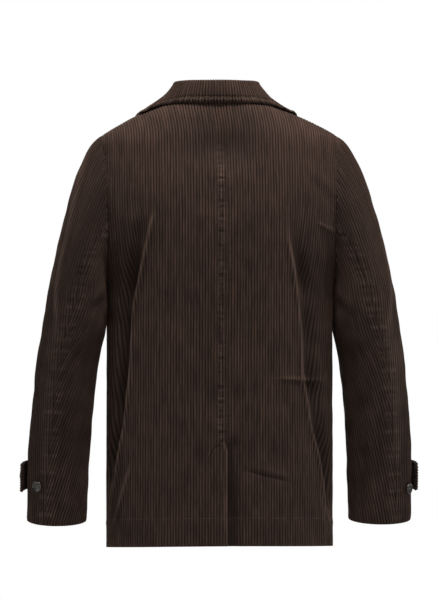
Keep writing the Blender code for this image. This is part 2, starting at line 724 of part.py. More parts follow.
def cuff_strap(side, finish):
    """A strap from the front seam round the outer side; its free end stands off the sleeve."""
    turn = np.linspace(STRAP_ROOT, STRAP_TIP, STRAP_COLUMNS)
    stand_off = strap_clearance(turn) + STRAP_WALL / 2
    chamfer = np.zeros(STRAP_COLUMNS)
    chamfer[-1] = STRAP_CORNER
    top = STRAP_TOP - chamfer
    bottom = STRAP_BOTTOM + chamfer
    rows = []
    for share in (0.0, 0.5, 1.0):
        level = bottom + (top - bottom) * share
        rows.append(sleeve_ring(np.radians(turn), level, side, stand_off))
    middle = np.array(rows) * np.array([side, 1.0, 1.0])
    return wall_about("cuff_strap_" + ("left" if side < 0 else "right"), middle, STRAP_WALL, finish)


def button(name, diameter, seat, facing, finish):
    """A four-hole button with a raised rim, its flat back at the seat and its face along facing."""
    angles = 2 * np.pi * np.arange(BUTTON_SIDES) / BUTTON_SIDES
    made = bmesh.new()
    rings = []
    for radius_share, height_share in zip(BUTTON_SECTION["radius"], BUTTON_SECTION["height"]):
        radius = radius_share * diameter / 2
        height = height_share * diameter
        rings.append([made.verts.new((radius * np.cos(a), radius * np.sin(a), height)) for a in angles])
    for low, high in zip(rings, rings[1:]):
        for k in range(BUTTON_SIDES):
            after = (k + 1) % BUTTON_SIDES
            made.faces.new((low[k], low[after], high[after], high[k]))
    made.faces.new(rings[0][::-1])
    made.faces.new(rings[-1])
    body = add_object(name, made, finish)
    holes = bmesh.new()
    bore = THREAD_HOLE * diameter
    apart = THREAD_HOLE_OUT * diameter
    for x, y in ((1, 1), (-1, 1), (-1, -1), (1, -1)):
        drill = bmesh.ops.create_cone(holes, cap_ends=True, segments=THREAD_HOLE_SIDES,
                                      radius1=bore, radius2=bore, depth=diameter)
        bmesh.ops.translate(holes, verts=drill["verts"], vec=(apart * x, apart * y, 0))
    cutter = add_object(name + "_thread_holes", holes, finish)
    cutter.hide_render = True
    cutter.display_type = "WIRE"
    cut = body.modifiers.new("thread_holes", "BOOLEAN")
    cut.operation = "DIFFERENCE"
    cut.solver = "EXACT"
    cut.object = cutter
    cutter.parent = body
    body.rotation_mode = "QUATERNION"
    body.rotation_quaternion = Vector(facing).to_track_quat("Z", "Y")
    body.location = seat


def front_buttons(panel, finish):
    """Six buttons in two columns, each seated on the face of the over front's wall that lies under it."""
    bpy.context.view_layer.update()
    number = 1
    for level in FRONT_BUTTON_LEVELS:
        for across in FRONT_BUTTON_ACROSS:
            place = (np.array([across]), np.array([level]), 1)
            start = Vector(trunk(*place, LARGE_BUTTON)[0])
            inward = Vector(trunk(*place)[0]) - start
            seat, facing = panel.ray_cast(start, inward)[1:3]
            button(f"front_button_{number}", LARGE_BUTTON, seat + facing * EASE, facing, finish)
            number += 1


def sleeve_button(name, side, turn, level, stand_off, finish):
    angle = np.radians(np.array([turn, turn, turn + 1.0]))
    levels = np.array([level, level + 0.002, level])
    ring = sleeve_ring(angle, levels, side, stand_off)
    facing = unit(np.cross(ring[1] - ring[0], ring[2] - ring[0]))
    if facing[0] < 0:
        facing = -facing
    flip = np.array([side, 1.0, 1.0])
    button(name, SMALL_BUTTON, (ring[0] + facing * EASE) * flip, facing * flip, finish)


def build():
    for old in list(bpy.data.objects):
        bpy.data.objects.remove(old, do_unlink=True)
    corduroy = material("corduroy", CORDUROY, 0.85)
    horn = material("button_horn", BUTTON_HORN, 0.35)
    for side, word in ((-1, "left"), (1, "right")):
        back_panel(side, corduroy)
        front = front_panel(side, corduroy)
        if side < 0:
            over_front = front
        lapel(side, corduroy)
        for part in ("top", "under"):
            sleeve_panel(side, part, corduroy)
        cuff_strap(side, corduroy)
        on_strap = strap_clearance(STRAP_BUTTON_TURN) + STRAP_WALL
        middle = (STRAP_TOP + STRAP_BOTTOM) / 2
        sleeve_button(f"strap_button_{word}", side, STRAP_BUTTON_TURN, middle, on_strap, horn)
        turn, level = CUFF_BUTTON[word]
        sleeve_button(f"cuff_button_{word}", side, turn, level, 0.0, horn)
    collar(corduroy)
    front_buttons(over_front, horn)


build()
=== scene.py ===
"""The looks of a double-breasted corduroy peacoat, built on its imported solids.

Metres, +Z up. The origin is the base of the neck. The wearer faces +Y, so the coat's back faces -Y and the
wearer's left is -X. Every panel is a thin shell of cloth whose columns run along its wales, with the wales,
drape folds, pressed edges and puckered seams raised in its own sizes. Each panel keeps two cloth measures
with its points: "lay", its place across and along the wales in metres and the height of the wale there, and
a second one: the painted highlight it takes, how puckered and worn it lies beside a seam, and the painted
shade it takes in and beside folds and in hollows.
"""

import bpy
import numpy as np
from mathutils import Matrix, Vector


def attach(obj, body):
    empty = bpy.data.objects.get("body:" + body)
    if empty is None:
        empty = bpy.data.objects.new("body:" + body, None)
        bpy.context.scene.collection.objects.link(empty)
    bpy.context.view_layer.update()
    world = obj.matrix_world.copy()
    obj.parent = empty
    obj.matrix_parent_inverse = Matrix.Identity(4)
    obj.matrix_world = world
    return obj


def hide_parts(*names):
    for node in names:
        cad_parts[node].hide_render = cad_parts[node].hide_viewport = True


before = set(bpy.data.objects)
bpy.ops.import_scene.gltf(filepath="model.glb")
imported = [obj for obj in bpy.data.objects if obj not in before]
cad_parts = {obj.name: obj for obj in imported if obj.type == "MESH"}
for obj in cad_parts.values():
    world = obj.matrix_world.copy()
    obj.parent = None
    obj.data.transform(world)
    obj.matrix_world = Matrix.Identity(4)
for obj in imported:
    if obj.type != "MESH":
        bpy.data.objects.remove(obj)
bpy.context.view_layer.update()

SIDES = {-1: "left", 1: "right"}

# ---- the cut and the worn form ----------------------------------------------------------------------------

SEAM = -0.0004
HEM = -0.737
HEM_LIFT = 0.008
LIFT_FADES = 0.30
NECK_RISE = 0.002
NECK_SHIFT = -0.006

ARMHOLE_LEVEL = -0.180
ARMHOLE_HEIGHT = 0.121
ARMHOLE_DEPTH = 0.058
ARMHOLE_TOP = ARMHOLE_LEVEL + ARMHOLE_HEIGHT
WAIST = -0.450

VENT_TOP = -0.566
VENT_LAP = 0.003
VENT_UNDERLAP = 0.042
VENT_SLANT = 0.012

FRONT_LAP = 0.085
BREAK_LEVEL = -0.240
GORGE_LEVEL = -0.050
ROLL_SLOPE = 0.684
OVER_FRONT = 0.0056
OVER_FADES = 0.150
OVER_FULL = 0.095
LAPEL_FOOT = 0.004
LAPEL_SET_IN = 0.0012
LAPEL_EASE = 0.0008
LAPEL_CURL = 0.0024

COLLAR_ROLL = 0.0034
COLLAR_TO_SHOULDER = 0.45
COLLAR_TO_GORGE = 0.67
LEAF_CLEAR = 0.0030
LEAF_OVER_LAPEL = 0.0030
STAND_CLEAR = 0.0014

BICEP = -0.320
CUFF = -0.694
SLEEVE_PRESS = 0.0014
SLEEVE_FULLER = {-1: 0.0, 1: 0.0028}
ELBOW_AT_ARMHOLE = 105.0
FRONT_SEAM = -150.0

STRAP_TOP = -0.600
STRAP_BOTTOM = -0.648
STRAP_TIP = 8.0
STRAP_ROOT = -142.0
STRAP_CORNER = 0.008
STRAP_CLEAR = 0.0005
STRAP_LIFT = 0.0068
STRAP_LIFT_FROM = -95.0
STRAP_LIFT_TO = -5.0

# Jumbo cord: the width of one wale and its height over the ground cloth.
WALE = 0.0047
WALE_HEIGHT = 0.0011
THREADS = 6
CLOTH = 0.0019


def table(names, *rows):
    """Rows of numbers as named columns."""
    return dict(zip(names.split(), np.array(rows, float).T))


TRUNK = table(
    "level half_width back front square",
    (-0.780, 0.1865, 0.119, 0.127, 2.20),
    (-0.600, 0.1865, 0.117, 0.126, 2.20),
    (-0.450, 0.1860, 0.116, 0.125, 2.20),
    (-0.360, 0.1862, 0.118, 0.125, 2.20),
    (-0.301, 0.1885, 0.120, 0.125, 2.15),
    (-0.240, 0.2040, 0.122, 0.124, 2.05),
    (-0.180, 0.2140, 0.121, 0.120, 2.00),
    (-0.140, 0.2143, 0.116, 0.114, 2.00),
    (-0.100, 0.2077, 0.109, 0.104, 2.00),
    (-0.059, 0.1930, 0.098, 0.090, 2.00),
    (-0.040, 0.1610, 0.090, 0.080, 2.00),
    (-0.027, 0.1350, 0.085, 0.075, 2.00),
    (-0.020, 0.1160, 0.082, 0.072, 2.00),
    (-0.014, 0.1000, 0.080, 0.069, 2.00),
    (-0.008, 0.0880, 0.078, 0.067, 2.00),
    (0.000, 0.0780, 0.075, 0.064, 2.00),
    (0.008, 0.0700, 0.072, 0.060, 2.00),
)

SLEEVE = table(
    "level out forward half_width half_depth square tilt",
    (-0.260, 0.2310, 0.000, 0.0480, 0.073, 2.30, 0.00),
    (-0.320, 0.2350, 0.000, 0.0492, 0.072, 2.30, 0.00),
    (-0.360, 0.2385, 0.000, 0.0520, 0.070, 2.20, 0.01),
    (-0.383, 0.2414, 0.001, 0.0522, 0.068, 2.20, 0.02),
    (-0.430, 0.2500, 0.003, 0.0512, 0.063, 2.10, 0.05),
    (-0.488, 0.2565, 0.006, 0.0503, 0.058, 2.10, 0.08),
    (-0.581, 0.2640, 0.018, 0.0510, 0.051, 2.00, 0.13),
    (-0.640, 0.2660, 0.026, 0.0500, 0.048, 2.00, 0.158),
    (-0.730, 0.2684, 0.038, 0.0485, 0.046, 2.00, 0.158),
)

# How the cap leaves the upper arm and meets the armhole, by the turn round the sleeve from its outer side.
CAP = table(
    "turn arm_in arm_rise seam_out seam_back seam_drop",
    (0, 0.0280, 0.134, 0.039, 0.000, 0.015),
    (45, 0.0200, 0.105, 0.033, 0.004, 0.022),
    (90, 0.0060, 0.060, 0.021, 0.007, 0.024),
    (135, 0.0010, 0.022, 0.008, 0.003, 0.016),
    (180, 0.0000, 0.006, 0.0005, 0.000, 0.007),
)

ELBOW_SEAM = table(
    "level turn",
    (-0.320, 88.0),
    (-0.370, 79.0),
    (-0.445, 72.0),
    (-0.560, 70.0),
    (-0.640, 64.0),
    (-0.730, 62.0),
)

# The lapel's outer edge from the break to its point, in distance across to its own side and level.
LAPEL_EDGE = table(
    "along across level",
    (0.00, -0.0790, -0.2440),
    (0.35, -0.0050, -0.2080),
    (0.70, 0.0720, -0.1560),
    (1.00, 0.1180, -0.1060),
)

# The collar at its stations from centre back to front end: height of the stand and its lean towards the neck,
# how far the leaf bellies out, and where the leaf's edge lies on the trunk (face -1 back, 1 front), as its
# distance out from the centre and its level.
COLLAR = table(
    "stand lean belly edge_out edge_level edge_face",
    (0.0235, 0.0030, 0.0030, 0.0000, -0.0090, -1),
    (0.0235, 0.0035, 0.0025, 0.0330, -0.0092, -1),
    (0.0235, 0.0060, 0.0010, 0.0660, -0.0098, -1),
    (0.0230, 0.0090, -0.0010, 0.0930, -0.0130, -1),
    (0.0215, 0.0120, -0.0040, 0.1120, -0.0190, -1),
    (0.0180, 0.0110, -0.0030, 0.1270, -0.0250, -1),
    (0.0140, 0.0070, 0.0010, 0.1310, -0.0370, 1),
    (0.0100, 0.0040, 0.0010, 0.1300, -0.0500, 1),
    (0.0055, 0.0020, 0.0000, 0.1275, -0.0640, 1),
    (0.0020, 0.0000, 0.0010, 0.1230, -0.0780, 1),
)


def smooth(at, xs, ys):
    """A smooth curve through the points of a table, at one place or many."""
    order = np.argsort(xs)
    xs = np.asarray(xs)[order]
    ys = np.asarray(ys)[order]
    slopes = np.gradient(ys, xs)
    i = np.clip(np.searchsorted(xs, at) - 1, 0, len(xs) - 2)
    step = xs[i + 1] - xs[i]
    t = np.clip((at - xs[i]) / step, 0, 1)
    near = (1 + 2 * t) * (1 - t) ** 2 * ys[i] + t * (1 - t) ** 2 * step * slopes[i]
    far = t * t * (3 - 2 * t) * ys[i + 1] + t * t * (t - 1) * step * slopes[i + 1]
    return near + far


def ease(value, start, end):
    """0 before start, 1 after end, smooth between them."""
    t = np.clip((value - start) / (end - start), 0, 1)
    return t * t * (3 - 2 * t)


def bump(distance, width):
    """A soft bump of height 1 round no distance."""
    return np.exp(-((distance / width) ** 2))


def unit(vectors):
    """Vectors of the same directions and of length 1."""
    return vectors / np.linalg.norm(vectors, axis=-1, keepdims=True)


def run_of(line):
    """The distance run along a line at each of its points."""
    return np.concatenate([[0], np.linalg.norm(np.diff(line, axis=0), axis=1).cumsum()])


# ---- the trunk --------------------------------------------------------------------------------------------

def trunk_sizes(level, face):
    """Half the trunk's width, its depth to one face, and how square it is, at a level."""
    half_width = smooth(level, TRUNK["level"], TRUNK["half_width"])
    depth = smooth(level, TRUNK["level"], TRUNK["back" if face < 0 else "front"])
    return half_width, depth, smooth(level, TRUNK["level"], TRUNK["square"])


QUARTER = np.linspace(0, np.pi / 2, 241)
LEVELS = np.linspace(TRUNK["level"][0], TRUNK["level"][-1], 321)
SHARES = np.linspace(0, 1, 121)


def girth_tables(face):
    """The cloth from centre line to side at each level, the turn at each share of it, and its run."""
    half_width, depth, square = trunk_sizes(LEVELS[:, None], face)
    wide = (np.sin(QUARTER) / half_width) ** square
    deep = (np.cos(QUARTER) / depth) ** square
    radius = (wide + deep) ** (-1 / square)
    x = radius * np.sin(QUARTER)
    y = radius * np.cos(QUARTER)
    run = np.hypot(np.diff(x, axis=1), np.diff(y, axis=1)).cumsum(axis=1)
    run = np.concatenate([np.zeros((len(LEVELS), 1)), run], axis=1)
    turns = np.array([np.interp(SHARES, row / row[-1], QUARTER) for row in run])
    return run[:, -1], turns, run


GIRTHS = {face: girth_tables(face) for face in (-1, 1)}


def read_grid(grid, row, column):
    """Values between the entries of a grid, at fractional rows and columns."""
    row = np.clip(row, 0, grid.shape[0] - 1.001)
    column = np.clip(column, 0, grid.shape[1] - 1.001)
    i = row.astype(int)
    j = column.astype(int)
    u = row - i
    v = column - j
    low = grid[i, j] * (1 - v) + grid[i, j + 1] * v
    high = grid[i + 1, j] * (1 - v) + grid[i + 1, j + 1] * v
    return low * (1 - u) + high * u


def level_row(level):
    """The row of a level in the girth grids."""
    return (level - LEVELS[0]) / (LEVELS[1] - LEVELS[0])


def quarter_girth(level, face):
    """The cloth from the centre line to the side at a level."""
    return np.interp(level, LEVELS, GIRTHS[face][0])


def turn_at(across, level, face):
    """Turn from the centre line, for a distance across the cloth at a level."""
    share = np.clip(np.abs(across) / quarter_girth(level, face), 0, 1)
    return read_grid(GIRTHS[face][1], level_row(level), share * (len(SHARES) - 1))


def across_at(turn, level, face):
    """Distance across the cloth from the centre line, for a turn at a level."""
    return read_grid(GIRTHS[face][2], level_row(level), turn / (np.pi / 2) * (len(QUARTER) - 1))


def turn_at_width(x, level, face):
    """Turn from the centre line, for a distance out from the trunk's axis at a level."""
    half_width, depth, square = trunk_sizes(level, face)
    wide = np.clip(np.abs(x) / half_width, 0, 1)
    return np.arctan2(wide * half_width, depth * (1 - wide ** square) ** (1 / square))


def neck_shift(level):
    """How far the cloth lies to the left, near the neck."""
    return NECK_SHIFT * ease(level, ARMHOLE_TOP, 0.0)


def armhole_half_depth(level):
    """Half the armhole's width at a level, from front to back."""
    rise = np.clip((level - ARMHOLE_LEVEL) / ARMHOLE_HEIGHT, -1, 1)
    return ARMHOLE_DEPTH * np.sqrt(1 - rise ** 2)


def side_width(level, face):
    """Distance out from the trunk's axis to the side seam, the armhole or the shoulder seam."""
    half_width, depth, square = trunk_sizes(level, face)
    return half_width * (1 - (armhole_half_depth(level) / depth) ** square) ** (1 / square)


def trunk(turn, side, level, face):
    """Points of the trunk's plain form and their outward normals; side is -1 left of the centre, 1 right."""
    half_width, depth, square = trunk_sizes(level, face)
    radius = ((np.sin(turn) / half_width) ** square + (np.cos(turn) / depth) ** square) ** (-1 / square)
    x = side * radius * np.sin(turn)
    y = face * radius * np.cos(turn)
    step = 0.0005
    above = trunk_sizes(level + step, face)
    below = trunk_sizes(level - step, face)
    grown = [(a - b) / (2 * step) for a, b in zip(above, below)]
    wide = np.abs(x) / half_width
    deep = np.abs(y) / depth
    slope_x = square / half_width * wide ** (square - 1) * side
    slope_y = square / depth * deep ** (square - 1) * face
    slope_z = -square * (wide ** square * grown[0] / half_width + deep ** square * grown[1] / depth)
    logs = wide ** square * np.log(np.maximum(wide, 1e-9)) + deep ** square * np.log(np.maximum(deep, 1e-9))
    normal = unit(np.stack([slope_x, slope_y, slope_z + grown[2] * logs], axis=-1))
    return np.stack([x + neck_shift(level), y, level], axis=-1), normal


def on_trunk(across, level, face, out):
    """Points a distance out from the trunk's plain form, by distance across the cloth and level."""
    across, level, out = np.broadcast_arrays(np.asarray(across, float), np.asarray(level, float), out)
    side = np.where(across < 0, -1.0, 1.0)
    points, normal = trunk(turn_at(across, level, face), side, level, face)
    return points + normal * out[..., None]


def rise_to_neck(rows, share):
    """Levels of rows of the cloth, which rise a little towards the outer end at the neck."""
    return rows + NECK_RISE * ease(rows, ARMHOLE_TOP, 0.0) * share ** 2


def vent_edge(level, side):
    """Where a back panel's centre edge lies, to its own side: on the seam, or in the vent."""
    if side < 0:
        return SEAM / 2 - (VENT_LAP + SEAM / 2) * ease(level, VENT_TOP, VENT_TOP - VENT_SLANT)
    return SEAM / 2 - VENT_UNDERLAP * ease(level, VENT_TOP, VENT_TOP - 2 * VENT_SLANT)


def roll_line(level):
    """Distance across to a front's own side of its turned edge, at a level above the break."""
    return -FRONT_LAP + ROLL_SLOPE * np.maximum(level - BREAK_LEVEL, 0)


def front_out(own_side, over):
    """How far a front lies out of the plain form: the over front clears the under front and its lapel."""
    if not over:
        return np.zeros_like(own_side)
    return OVER_FRONT * ease(own_side, OVER_FADES, OVER_FULL)


# ---- the sleeves ------------------------------------------------------------------------------------------

def trunk_side(y, level):
    """How far out the trunk's side lies at a depth and a level."""
    half_width, back, square = trunk_sizes(level, -1)
    front = trunk_sizes(level, 1)[1]
    depth = np.where(y < 0, back, front)
    return half_width * (1 - np.clip(np.abs(y) / depth, 0, 1) ** square) ** (1 / square)


def sleeve_ring(turn, level, side, out=0.0):
    """Points round a sleeve at a level; the turn runs from the outer side (0) to the back (a quarter)."""
    sizes = {key: smooth(level, SLEEVE["level"], column) for key, column in SLEEVE.items()}
    half_width = sizes["half_width"] + SLEEVE_FULLER[side]
    middle = sizes["out"] + SLEEVE_FULLER[side]
    wide = (np.abs(np.cos(turn)) / (half_width + out)) ** sizes["square"]
    deep = (np.abs(np.sin(turn)) / (sizes["half_depth"] + out)) ** sizes["square"]
    radius = (wide + deep) ** (-1 / sizes["square"])
    back = -radius * np.sin(turn)
    x = middle + radius * np.cos(turn)
    y = sizes["forward"] + back
    x = np.maximum(x, trunk_side(y, np.minimum(level, ARMHOLE_LEVEL - ARMHOLE_HEIGHT)) + SLEEVE_PRESS)
    return np.stack([x, y, level + sizes["tilt"] * back], axis=-1)


def armhole_point(turn):
    """Points of the armhole seam of the sleeve, just clear of the trunk's edge."""
    level = ARMHOLE_LEVEL + ARMHOLE_HEIGHT * np.cos(turn)
    face = np.where(np.sin(turn) > 0, -1, 1)
    half_width, back, square = trunk_sizes(level, -1)
    depth = np.where(face < 0, back, trunk_sizes(level, 1)[1])
    y = ARMHOLE_DEPTH * np.abs(np.sin(turn))
    x = half_width * (1 - (y / depth) ** square) ** (1 / square) + SEAM
    return np.stack([x, face * y, level], axis=-1)


def sleeve_cap(turn, share, side):
    """Points of the cap, from the upper arm (0) to the armhole seam (1)."""
    away = np.abs(np.degrees(turn))
    shape = {key: smooth(away, CAP["turn"], column) for key, column in CAP.items()}
    zero = np.zeros_like(turn)
    arm = sleeve_ring(turn, np.full_like(turn, BICEP), side)
    rise = np.stack([-shape["arm_in"], zero, shape["arm_rise"]], axis=-1)
    seam = armhole_point(turn)
    leave = np.stack([shape["seam_out"], -np.sign(turn) * shape["seam_back"], -shape["seam_drop"]], axis=-1)
    t = np.asarray(share)[..., None]
    return ((1 - t) ** 3 * arm + 3 * t * (1 - t) ** 2 * (arm + rise)
            + 3 * t * t * (1 - t) * (seam + leave) + t ** 3 * seam)


def sleeve(turn, along, side):
    """Points of a sleeve: along runs from -1 at the armhole through 0 at the upper arm to 1 at the cuff."""
    turn, along = np.broadcast_arrays(turn, along)
    turn = np.where(turn > np.pi, turn - 2 * np.pi, turn)
    cap = sleeve_cap(turn, np.clip(-along, 0, 1), side)
    ring = sleeve_ring(turn, BICEP + (CUFF - BICEP) * np.maximum(along, 0), side)
    return np.where((along < 0)[..., None], cap, ring)


def on_sleeve(turn, along, side, out):
    """Points a distance out from a sleeve's plain form, on the coat's own side."""
    step = 0.004
    low = np.maximum(along - step, -1.0)
    round_way = sleeve(turn + step, along, side) - sleeve(turn - step, along, side)
    long_way = sleeve(turn, along + step, side) - sleeve(turn, low, side)
    outward = unit(np.cross(round_way, long_way))
    return (sleeve(turn, along, side) + outward * out[..., None]) * np.array([side, 1.0, 1.0])


def elbow_turn(along):
    """Turn of the elbow seam at each place along the sleeve."""
    top = ELBOW_SEAM["turn"][0]
    level = BICEP + (CUFF - BICEP) * np.clip(along, 0, 1)
    below = smooth(level, ELBOW_SEAM["level"], ELBOW_SEAM["turn"])
    return np.radians(np.where(along < 0, top + (ELBOW_AT_ARMHOLE - top) * -along, below))


# ---- shells of cloth --------------------------------------------------------------------------------------

# Above this angle an edge of the cloth is shaded sharp.
SHARP_ANGLE = 62
# More points than any cut edge between two points of the thinner back.
LONGEST_WALK = 5000
# The least gap between an even step and a fixed place, as a share of the step.
LEAST_GAP = 0.4
LEAST_ROW_GAP = 0.35
# Below 1 a wale is rounder than a half wave.
WALE_ROUND = 0.75
# The height of a wale at which the cloth lies in its plain form.
WALE_MEAN = 0.55


def sewn(first, second, place):
    """Triangles between two neighbouring columns of points, each in order along the wale."""
    made = []
    i = j = 0
    while i < len(first) - 1 or j < len(second) - 1:
        ahead_first = place[first[i + 1]] if i < len(first) - 1 else np.inf
        ahead_second = place[second[j + 1]] if j < len(second) - 1 else np.inf
        if ahead_first <= ahead_second:
            made.append((first[i], second[j], first[i + 1]))
            i += 1
        else:
            made.append((first[i], second[j], second[j + 1]))
            j += 1
    return made


def rim_of(triangles):
    """The edge loop of an open sheet, as a map from each point to the next."""
    edges = set()
    for a, b, c in triangles:
        edges.update(((a, b), (b, c), (c, a)))
    return {a: b for a, b in edges if (b, a) not in edges}


class Cut:
    """A cut piece of cloth: columns of points along the wales, kept as place across and place along."""

    def __init__(self):
        self.across = []
        self.along = []
        self.count = 0
        self.outer = []
        self.inner = []

    def column(self, across, along):
        """Adds a column of points and gives their numbers."""
        along = np.asarray(along, float)
        self.across.append(np.broadcast_to(across, along.shape).astype(float))
        self.along.append(along)
        numbers = np.arange(self.count, self.count + len(along))
        self.count += len(along)
        return numbers

    def sew(self, columns, back_step=THREADS, back_rows=3, keep=()):
        """Joins neighbouring columns into the face, and every few of them into the plain back."""
        place = np.concatenate(self.along)
        for first, second in zip(columns, columns[1:]):
            self.outer += sewn(list(first), list(second), place)
        marks = np.array(sorted(keep))

        def thinned(numbers):
            kept = {n for n in numbers if n % back_rows == 0} | {numbers[0], numbers[-1]}
            for mark in marks:
                near = np.abs(place[numbers] - mark)
                if near.min() < 1e-9:
                    kept.add(numbers[int(near.argmin())])
            return sorted(kept, key=lambda n: place[n])

        chosen = sorted(set(range(0, len(columns), back_step)) | {0, len(columns) - 1})
        for k, m in zip(chosen, chosen[1:]):
            self.inner += sewn(thinned(columns[k]), thinned(columns[m]), place)

    def arrays(self):
        return np.concatenate(self.across), np.concatenate(self.along)


def make_shell(name, cut, face_points, back_points, lay, light_and_wear, cloth):
    """A closed shell from a cut piece: its face, its plain back, and the cut edge between them."""
    used = sorted({n for triangle in cut.inner for n in triangle})
    back_of = {n: cut.count + k for k, n in enumerate(used)}
    triangles = list(cut.outer)
    triangles += [(back_of[a], back_of[c], back_of[b]) for a, b, c in cut.inner]
    after = rim_of(cut.outer)
    for a, b in rim_of(cut.inner).items():
        walk = [a]
        while walk[-1] != b:
            walk.append(after[walk[-1]])
            if len(walk) > LONGEST_WALK:
                raise ValueError(f"{name}: the edges of face and back don't follow each other")
        for here, there in zip(walk, walk[1:]):
            triangles.append((back_of[a], there, here))
        triangles.append((back_of[a], back_of[b], b))
    points = np.concatenate([face_points, back_points[used]])
    corners = points[np.array(triangles)]
    inside = np.einsum("ij,ij->i", corners[:, 0], np.cross(corners[:, 1], corners[:, 2])).sum()
    if inside < 0:
        triangles = [(a, c, b) for a, b, c in triangles]
    mesh = bpy.data.meshes.new(name)
    mesh.from_pydata(points.tolist(), [], triangles)
    for label, values in (("lay", lay), ("light_and_wear", light_and_wear)):
        values = np.concatenate([values, values[used] * np.array([1.0, 1.0, 0.0])])
        mesh.attributes.new(label, "FLOAT_VECTOR", "POINT").data.foreach_set("vector", values.ravel())
    mesh.materials.append(cloth)
    mesh.shade_smooth()
    mesh.set_sharp_from_angle(angle=np.radians(SHARP_ANGLE))
    return linked(name, mesh)


def linked(name, data):
    """A new object of the scene."""
    made = bpy.data.objects.new(name, data)
    bpy.context.scene.collection.objects.link(made)
    return made


def wale_places(low, high, extra=()):
    """Places of the columns between two limits: a few to each wale, with these extra ones exactly kept."""
    step = WALE / THREADS
    places = np.arange(np.ceil(low / step), np.floor(high / step) + 1) * step
    fixed = np.array([low, high, *extra])
    gap = np.abs(places[:, None] - fixed).min(axis=1)
    return np.sort(np.concatenate([places[gap > LEAST_GAP * step], np.unique(fixed)]))


def wale_rise(across):
    """Height of the wales over the ground cloth, 0 in the groove and 1 on the crest."""
    return np.abs(np.sin(np.pi * across / WALE)) ** WALE_ROUND


def row_places(low, high, step):
    """Places of the points along a column: even steps counted from zero, and its two ends."""
    inner = np.arange(np.floor(low / step) + 1, np.ceil(high / step)) * step
    ends = np.array([low, high])
    gap = np.abs(inner[:, None] - ends).min(axis=1) if len(inner) else np.zeros(0)
    return np.sort(np.concatenate([inner[gap > LEAST_ROW_GAP * step], np.unique(ends)]))


# ---- how the worn cloth lies ------------------------------------------------------------------------------

# Drape folds, each a crest with a trough beside it towards the side seam, by level and place across.
FOLD_COURSE = {
    "back_left": table(
        "level across",
        (-0.190, -0.118), (-0.215, -0.124), (-0.292, -0.143), (-0.346, -0.155), (-0.407, -0.159),
        (-0.473, -0.165), (-0.544, -0.177), (-0.586, -0.188), (-0.640, -0.200),
    ),
    "back_right": table(
        "level across",
        (-0.233, 0.104), (-0.308, 0.120), (-0.350, 0.126), (-0.422, 0.131), (-0.457, 0.133),
        (-0.487, 0.139), (-0.536, 0.149), (-0.589, 0.168), (-0.662, 0.184),
    ),
    "front_left": table("level across", (-0.230, -0.120), (-0.400, -0.142), (-0.640, -0.168)),
    "front_right": table("level across", (-0.250, 0.126), (-0.420, 0.139), (-0.660, 0.172)),
}
FOLD_SIZE = table(
    "crest crest_width trough trough_at trough_width from_level to_level",
    (0.0056, 0.0040, 0.0140, 0.018, 0.0135, -0.165, -0.655),
    (0.0054, 0.0040, 0.0125, 0.018, 0.0135, -0.185, -0.700),
    (0.0030, 0.0090, 0.0046, 0.022, 0.018, -0.215, -0.700),
    (0.0026, 0.0090, 0.0040, 0.022, 0.017, -0.240, -0.700),
)
FOLD_FADE = 0.060
FOLD_SINKS = 0.140
# Cloth gathered into a fold's trough draws the wales beyond it down towards the fold.
GATHER = 0.024
GATHER_FROM = -0.170
GATHER_TO = -0.450
SEAM_FADE = 0.022

# Short creases, from one place (across, level) to another; a positive rise stands out, a negative one sinks.
BACK_CREASES = table(
    "across level to_across to_level rise width",
    (0.082, -0.4585, 0.184, -0.4600, 0.0022, 0.0036),
    (0.088, -0.4660, 0.182, -0.4675, -0.0003, 0.0040),
    (0.024, -0.6020, 0.112, -0.6280, -0.0015, 0.0034),
    (0.034, -0.5960, 0.110, -0.6200, 0.0007, 0.0050),
    (0.158, -0.2040, 0.202, -0.2200, 0.0014, 0.0040),
    (0.162, -0.2130, 0.204, -0.2290, -0.0012, 0.0050),
    (0.122, -0.1000, 0.200, -0.1560, 0.0013, 0.0080),
    (0.130, -0.1170, 0.196, -0.1700, -0.0012, 0.0090),
    (-0.150, -0.3480, -0.226, -0.3260, 0.0012, 0.0070),
    (-0.150, -0.3800, -0.230, -0.3560, -0.0010, 0.0080),
    (-0.160, -0.5980, -0.196, -0.6900, 0.0034, 0.0046),
    (-0.176, -0.5950, -0.212, -0.7000, -0.0036, 0.0080),
    (0.170, -0.6600, 0.196, -0.7200, 0.0012, 0.0060),
    (-0.046, -0.0900, -0.060, -0.2000, -0.0012, 0.0110),
    (0.040, -0.0800, 0.052, -0.1700, -0.0010, 0.0110),
    (0.108, -0.6400, 0.150, -0.7250, -0.0012, 0.0140),
    (-0.060, -0.4800, -0.110, -0.6400, -0.0008, 0.0150),
    (0.020, -0.3000, 0.070, -0.3900, 0.0007, 0.0150),
    (-0.030, -0.2500, -0.090, -0.3400, -0.0007, 0.0160),
)
FRONT_CREASES = table(
    "across level to_across to_level rise width",
    (-0.196, -0.2250, -0.110, -0.2420, 0.0013, 0.0060),
    (-0.200, -0.2380, -0.120, -0.2570, -0.0012, 0.0070),
    (0.198, -0.2200, 0.128, -0.2390, 0.0012, 0.0060),
    (0.200, -0.2340, 0.130, -0.2560, -0.0011, 0.0070),
    (-0.060, -0.5050, -0.140, -0.5350, 0.0010, 0.0060),
    (-0.064, -0.3860, -0.150, -0.4040, 0.0009, 0.0060),
    (0.062, -0.3870, 0.140, -0.4100, 0.0009, 0.0060),
    (0.058, -0.5100, 0.120, -0.5500, -0.0009, 0.0070),
    (0.120, -0.5800, 0.150, -0.7200, 0.0013, 0.0090),
    (-0.110, -0.6000, -0.120, -0.7200, -0.0013, 0.0110),
    (0.000, -0.5600, 0.020, -0.7200, 0.0009, 0.0140),
    (-0.140, -0.1100, -0.186, -0.1800, 0.0010, 0.0090),
    (0.140, -0.1150, 0.186, -0.1750, 0.0010, 0.0090),
)
